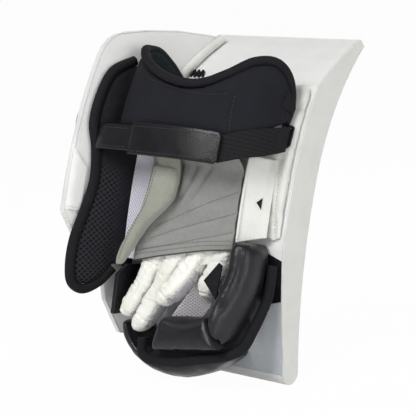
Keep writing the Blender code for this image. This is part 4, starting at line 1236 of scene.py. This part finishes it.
def add_cuff_lining():
    edge = [(point.x, point.y) for point in cuff_edge()]

    def low(q):
        return between(q / CUFF.length, [(0.75, CUFF_LOW), (0.88, CUFF_LOW + 0.010), (1.0, 0.262)])

    def high(q):
        return between(q, edge) - 0.0074

    outer = -2 * GAP
    us = spaced(0.004, CUFF.length - 0.004, 60)
    shape = slab(CUFF.place, us, outer - LINING_CLOTH, outer, 14, 0.001, low, high)
    lining = piece("cuff_lining_cloth", shape, "lining_cloth", stands_for=["cuff_lining"])


def inset(line, distance):
    """A flat line moved over to its right by a distance."""
    moved = []
    for i, point in enumerate(line):
        along = (line[min(i + 1, len(line) - 1)] - line[max(i - 1, 0)]).normalized()
        moved.append(point + Vector((along.y, -along.x)) * distance)
    return moved


def add_bindings():
    """Rolled edge bindings of the cuff, the liner and the finger rolls."""
    end = CUFF.length
    edge = cuff_edge() + smooth([(end - 0.0005, 0.270), (end - 0.001, 0.264), (end - 0.003, 0.257)], 4)
    line = [CUFF.place(q, s, CUFF_THICKNESS / 2) for q, s in inset(edge, CUFF_BINDING + 0.0016)]
    tube("cuff_edge_roll", even(line, ROLL_STEP), CUFF_ROLL, "binding_cloth", ["cuff_binding"])

    low, high = 0.074, WALL_HEIGHT - 0.005
    free = [(low + 0.022, 0.036), (low + 0.008, 0.052), (low, 0.074), (low + 0.008, 0.092),
            (low + 0.026, high + 0.002), (0.126, high), (0.152, 0.087), (0.181, 0.080), (0.210, 0.084),
            (0.232, high - 0.002), (0.258, high - 0.002), (0.280, 0.086), (0.298, 0.064)]
    edge = inset(smooth(free, 8), LINER_ROLL + 0.0002)
    line = [wall_point(s, h, WALL_THICKNESS + LINER_ROLL + 0.0004) for s, h in edge]
    tube("liner_edge_roll", even(line, ROLL_STEP), LINER_ROLL, "binding_cloth", ["liner_binding"])

    route = [(-0.033, 0.042, 0.0600), (-0.029, 0.0245, 0.0608), (0.012, 0.0245, 0.0606),
             (0.050, 0.0325, 0.0570), (0.0725, 0.0370, 0.0480), (0.0860, 0.0455, 0.0370),
             (0.0890, 0.0600, 0.0260), (0.0910, 0.0760, 0.0160), (0.0925, 0.0920, 0.0085),
             (0.0930, 0.1080, 0.0065), (0.0930, 0.1240, 0.0062)]
    line = [board_point(*point) for point in smooth(route, 8)]
    tube("roll_edge_band", even(line, ROLL_STEP), BAND_ROLL, "binding_cloth", ["finger_roll_binding"])


def add_roll_backing():
    """Black cloth that joins the rolls to their edge band."""
    band = smooth([(-0.024, 0.0265, 0.0590), (0.012, 0.0265, 0.0590), (0.050, 0.0345, 0.0555),
                   (0.0715, 0.0390, 0.0470), (0.0845, 0.0470, 0.0365), (0.0880, 0.0610, 0.0260)], 8)
    under = smooth([(-0.010, 0.0400, 0.0540), (0.012, 0.0400, 0.0540), (0.050, 0.0480, 0.0500),
                    (0.0660, 0.0560, 0.0420), (0.0760, 0.0640, 0.0330), (0.0800, 0.0750, 0.0220)], 8)
    last = len(band) - 1

    def place(u, v, t):
        x, s, d = band[round(u * last)].lerp(under[round(u * last)], v)
        return board_point(x, s, d + t)

    shape = slab(place, spaced(0, 1, last), -THIN_CLOTH / 2, THIN_CLOTH / 2, 6, 0.02)
    backing = piece("roll_backing", shape, "cuff_cloth")


def add_lace():
    """Zig-zag elastic between the cuff's thumb end and the bead."""
    start, step, middle, swing, radius = -0.080, 0.003, 0.3095, 0.004, 0.0014
    points = []
    for i in range(7):
        s = middle + (swing if i % 2 else -swing)
        points.append(board_point(start + step * i, s, face_depth(middle) + radius + GAP))
    tube("lace_zigzag", even(smooth(points, 6), 0.001), radius, "binding_cloth", ["cuff_lace"])


# Straps

def strap_wrap():
    """The strap's underside: from the liner's rim, over the webbing and the hook tape."""
    low = CUFF_THICKNESS + STRAP_THICKNESS + HOOK_TAPE + 3 * GAP
    x, d = wall_section(0.082, WALL_THICKNESS + LINER_THICKNESS + 4 * GAP)
    line = [Vector((x, d)), Vector((x + 0.018, d + 0.003))]
    start, end = CUFF.crossing(-0.060), CUFF.crossing(0.052)
    for q in spaced(start, end, round((end - start) / 0.016)):
        point, normal = CUFF.at(q)
        line.append(point + normal * low)
    return Wrap(line)


def corner_cut(q, end, corner):
    """How far a rounded corner at a strip's end cuts in from its edge."""
    return corner - math.sqrt(max(corner ** 2 - max(q - end + corner, 0) ** 2, 0))


def add_pull_strap():
    strap = strap_wrap()
    length = strap.length
    patch_start = strap.crossing(-0.054)

    def strip(name, start, end, low, high, bottom, thickness, node):
        count = max(8, round((end - start) / 0.003))
        us = [start + (end - start) * math.sin(math.pi / 2 * i / count) for i in range(count + 1)]
        shape = slab(strap.place, us, bottom, bottom + thickness, 12,
                     low=lambda q: low + corner_cut(q, end, 0.004),
                     high=lambda q: high - corner_cut(q, end, 0.004))
        return piece(name, shape, "strap_black", "pull_strap", [node], chart=to_board)

    belt = strip("strap_leather", 0, length - 0.001, STRAP_LOW + 0.003, STRAP_HIGH - 0.002,
                 0, STRAP_THICKNESS, "pull_strap")
    patch = strip("patch_leather", patch_start, length, STRAP_LOW, STRAP_HIGH,
                  STRAP_THICKNESS + GAP, PATCH_THICKNESS, "strap_patch")
    left, right = patch_start + 0.0025, length - HEM
    low, high = STRAP_LOW + HEM, STRAP_HIGH - HEM
    border = [(left, low), (right, low), (right, high), (left, high), (left, low)]
    rows = []
    for (q, s), (r, z) in zip(border, border[1:]):
        spots = [strap.place(q + (r - q) * i / 30, s + (z - s) * i / 30, 0.0037) for i in range(31)]
        rows.append(laid_on(patch, spots))
    for s in (STRAP_LOW + 0.006, STRAP_HIGH - 0.005):
        spots = [strap.place(q, s, STRAP_THICKNESS) for q in spaced(0.009, patch_start - 0.003, 20)]
        rows.append(laid_on(belt, spots))
    stitches("strap_stitches", rows, "black_thread", STRAP_STITCH, "pull_strap")


def add_webbing():
    """Webbing that runs up and round to the pinky side, and light thread on the tab that anchors it."""
    bend_start = CUFF.crossing(0.052)

    def climb(q, s, t):
        return CUFF.place(q, s + 0.36 * max(q - bend_start, 0), t)

    base = CUFF_THICKNESS + GAP
    us = spaced(CUFF.crossing(-0.005), CUFF.length - 0.003, 50)
    shape = slab(climb, us, base, base + STRAP_THICKNESS, 14,
                 low=lambda q: STRAP_LOW + 0.002, high=lambda q: STRAP_HIGH - 0.001)
    piece("webbing_strap", shape, "webbing", GLOVE, ["wrist_webbing"], chart=to_board)

    low_corner, high_corner = (RIGHT - 0.0165, 0.2345), (RIGHT - 0.0190, 0.2575)
    edges = ([low_corner, (RIGHT - 0.0065, 0.2405)], [high_corner, (RIGHT - 0.0065, 0.2555)],
             [low_corner, high_corner])
    rows = [cast_on(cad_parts["webbing_anchor_tab"], lined(edge)) for edge in edges]
    stitches("anchor_stitches", rows, "pale_thread", FINE_STITCH)


def add_inlay_elastic():
    """Flat elastic sewn on the black inlay beside the side roll."""
    left, right = 0.0885, 0.0965

    def place(x, s, t):
        return board_point(x, s, face_depth(s) + t)

    shape = slab(place, spaced(left, right, 8), 0.0002, 0.0016, 10,
                 low=lambda x: 0.103 + 0.1 * (x - left), high=lambda x: 0.121 - 0.1 * (x - left))
    piece("inlay_elastic", shape, "webbing", chart=to_board)


# Studio

def add_floor():
    """A wide floor that looks white and still takes light and shadow."""
    shape = bmesh.new()
    bmesh.ops.create_grid(shape, x_segments=1, y_segments=1, size=30)
    mesh = bpy.data.meshes.new("floor")
    shape.to_mesh(mesh)
    shape.free()
    floor = link("floor", mesh)
    material = bpy.data.materials.new("floor")
    material.use_nodes = True
    tree = material.node_tree
    tree.nodes.clear()
    rays = add_node(tree, "ShaderNodeLightPath").outputs
    seen = rays["Is Camera Ray"]
    for label in ("Is Glossy Ray", "Is Transmission Ray"):
        seen = add_node(tree, "ShaderNodeMath", {"operation": "MAXIMUM"}, i0=seen, i1=rays[label]).outputs[0]
    share = add_node(tree, "ShaderNodeMath", {"operation": "MULTIPLY"}, i0=seen, i1=FLOOR_GLOW).outputs[0]
    plain = add_node(tree, "ShaderNodeBsdfDiffuse", Color=(0.88, 0.88, 0.88, 1)).outputs[0]
    glow = add_node(tree, "ShaderNodeEmission", Strength=1.0).outputs[0]
    mix = add_node(tree, "ShaderNodeMixShader", i0=share, i1=plain, i2=glow).outputs[0]
    add_node(tree, "ShaderNodeOutputMaterial", Surface=mix)
    mesh.materials.append(material)


def add_world():
    """White behind the object, and a softer light from all round."""
    world = bpy.data.worlds.new("studio")
    bpy.context.scene.world = world
    world.use_nodes = True
    tree = world.node_tree
    back = tree.nodes["Background"]
    back.inputs["Color"].default_value = (1, 1, 1, 1)
    rays = add_node(tree, "ShaderNodeLightPath").outputs
    level = add_node(tree, "ShaderNodeMapRange", i0=rays["Is Camera Ray"], i3=WORLD_LIGHT, i4=1.0)
    tree.links.new(level.outputs[0], back.inputs["Strength"])


def aim(item, place, target):
    item.location = place
    item.rotation_euler = (Vector(target) - Vector(place)).to_track_quat("-Z", "Y").to_euler()


def add_lamp(name, place, size, power):
    lamp = bpy.data.lights.new(name, "AREA")
    lamp.size = size
    lamp.energy = power
    aim(link(name, lamp), place, LAMP_TARGET)


def add_camera():
    data = bpy.data.cameras.new("photo_camera")
    data.sensor_width = 36
    data.lens = CAMERA_LENS
    camera = link("photo_camera", data)
    aim(camera, CAMERA_PLACE, CAMERA_TARGET)
    bpy.context.scene.camera = camera


def add_studio():
    bpy.context.scene.view_settings.view_transform = "Standard"
    add_world()
    add_floor()
    add_lamp("key", (0.0, -1.6, 1.6), size=1.0, power=30)
    add_lamp("fill", (1.8, -0.7, 0.5), size=1.0, power=12)
    add_lamp("back", (0.2, 1.6, 1.2), size=1.2, power=10)


def main():
    add_camera()
    add_studio()
    finish_board()
    add_board_seams()
    add_bead()
    add_rim_tab()
    add_strap_keeper()
    items = make_pads()
    finish_hand_back_pad(items["hand_back_pad"])
    finish_liner(items["liner_pad"])
    finish_cuff(items["cuff_pad"])
    finish_rolls(items["finger_roll_side"], items["finger_roll_front"], items["finger_cup"])
    finish_thumb(items["thumb"])
    for name in FINGERS:
        finish_finger(name, items[name + "_finger"])
    add_palm()
    add_finger_web()
    add_knuckle_band()
    add_thumb_root()
    add_thumb_gusset()
    add_pinky_panel()
    add_cuff_lining()
    add_bindings()
    add_roll_backing()
    add_lace()
    add_pull_strap()
    add_webbing()
    add_inlay_elastic()


main()
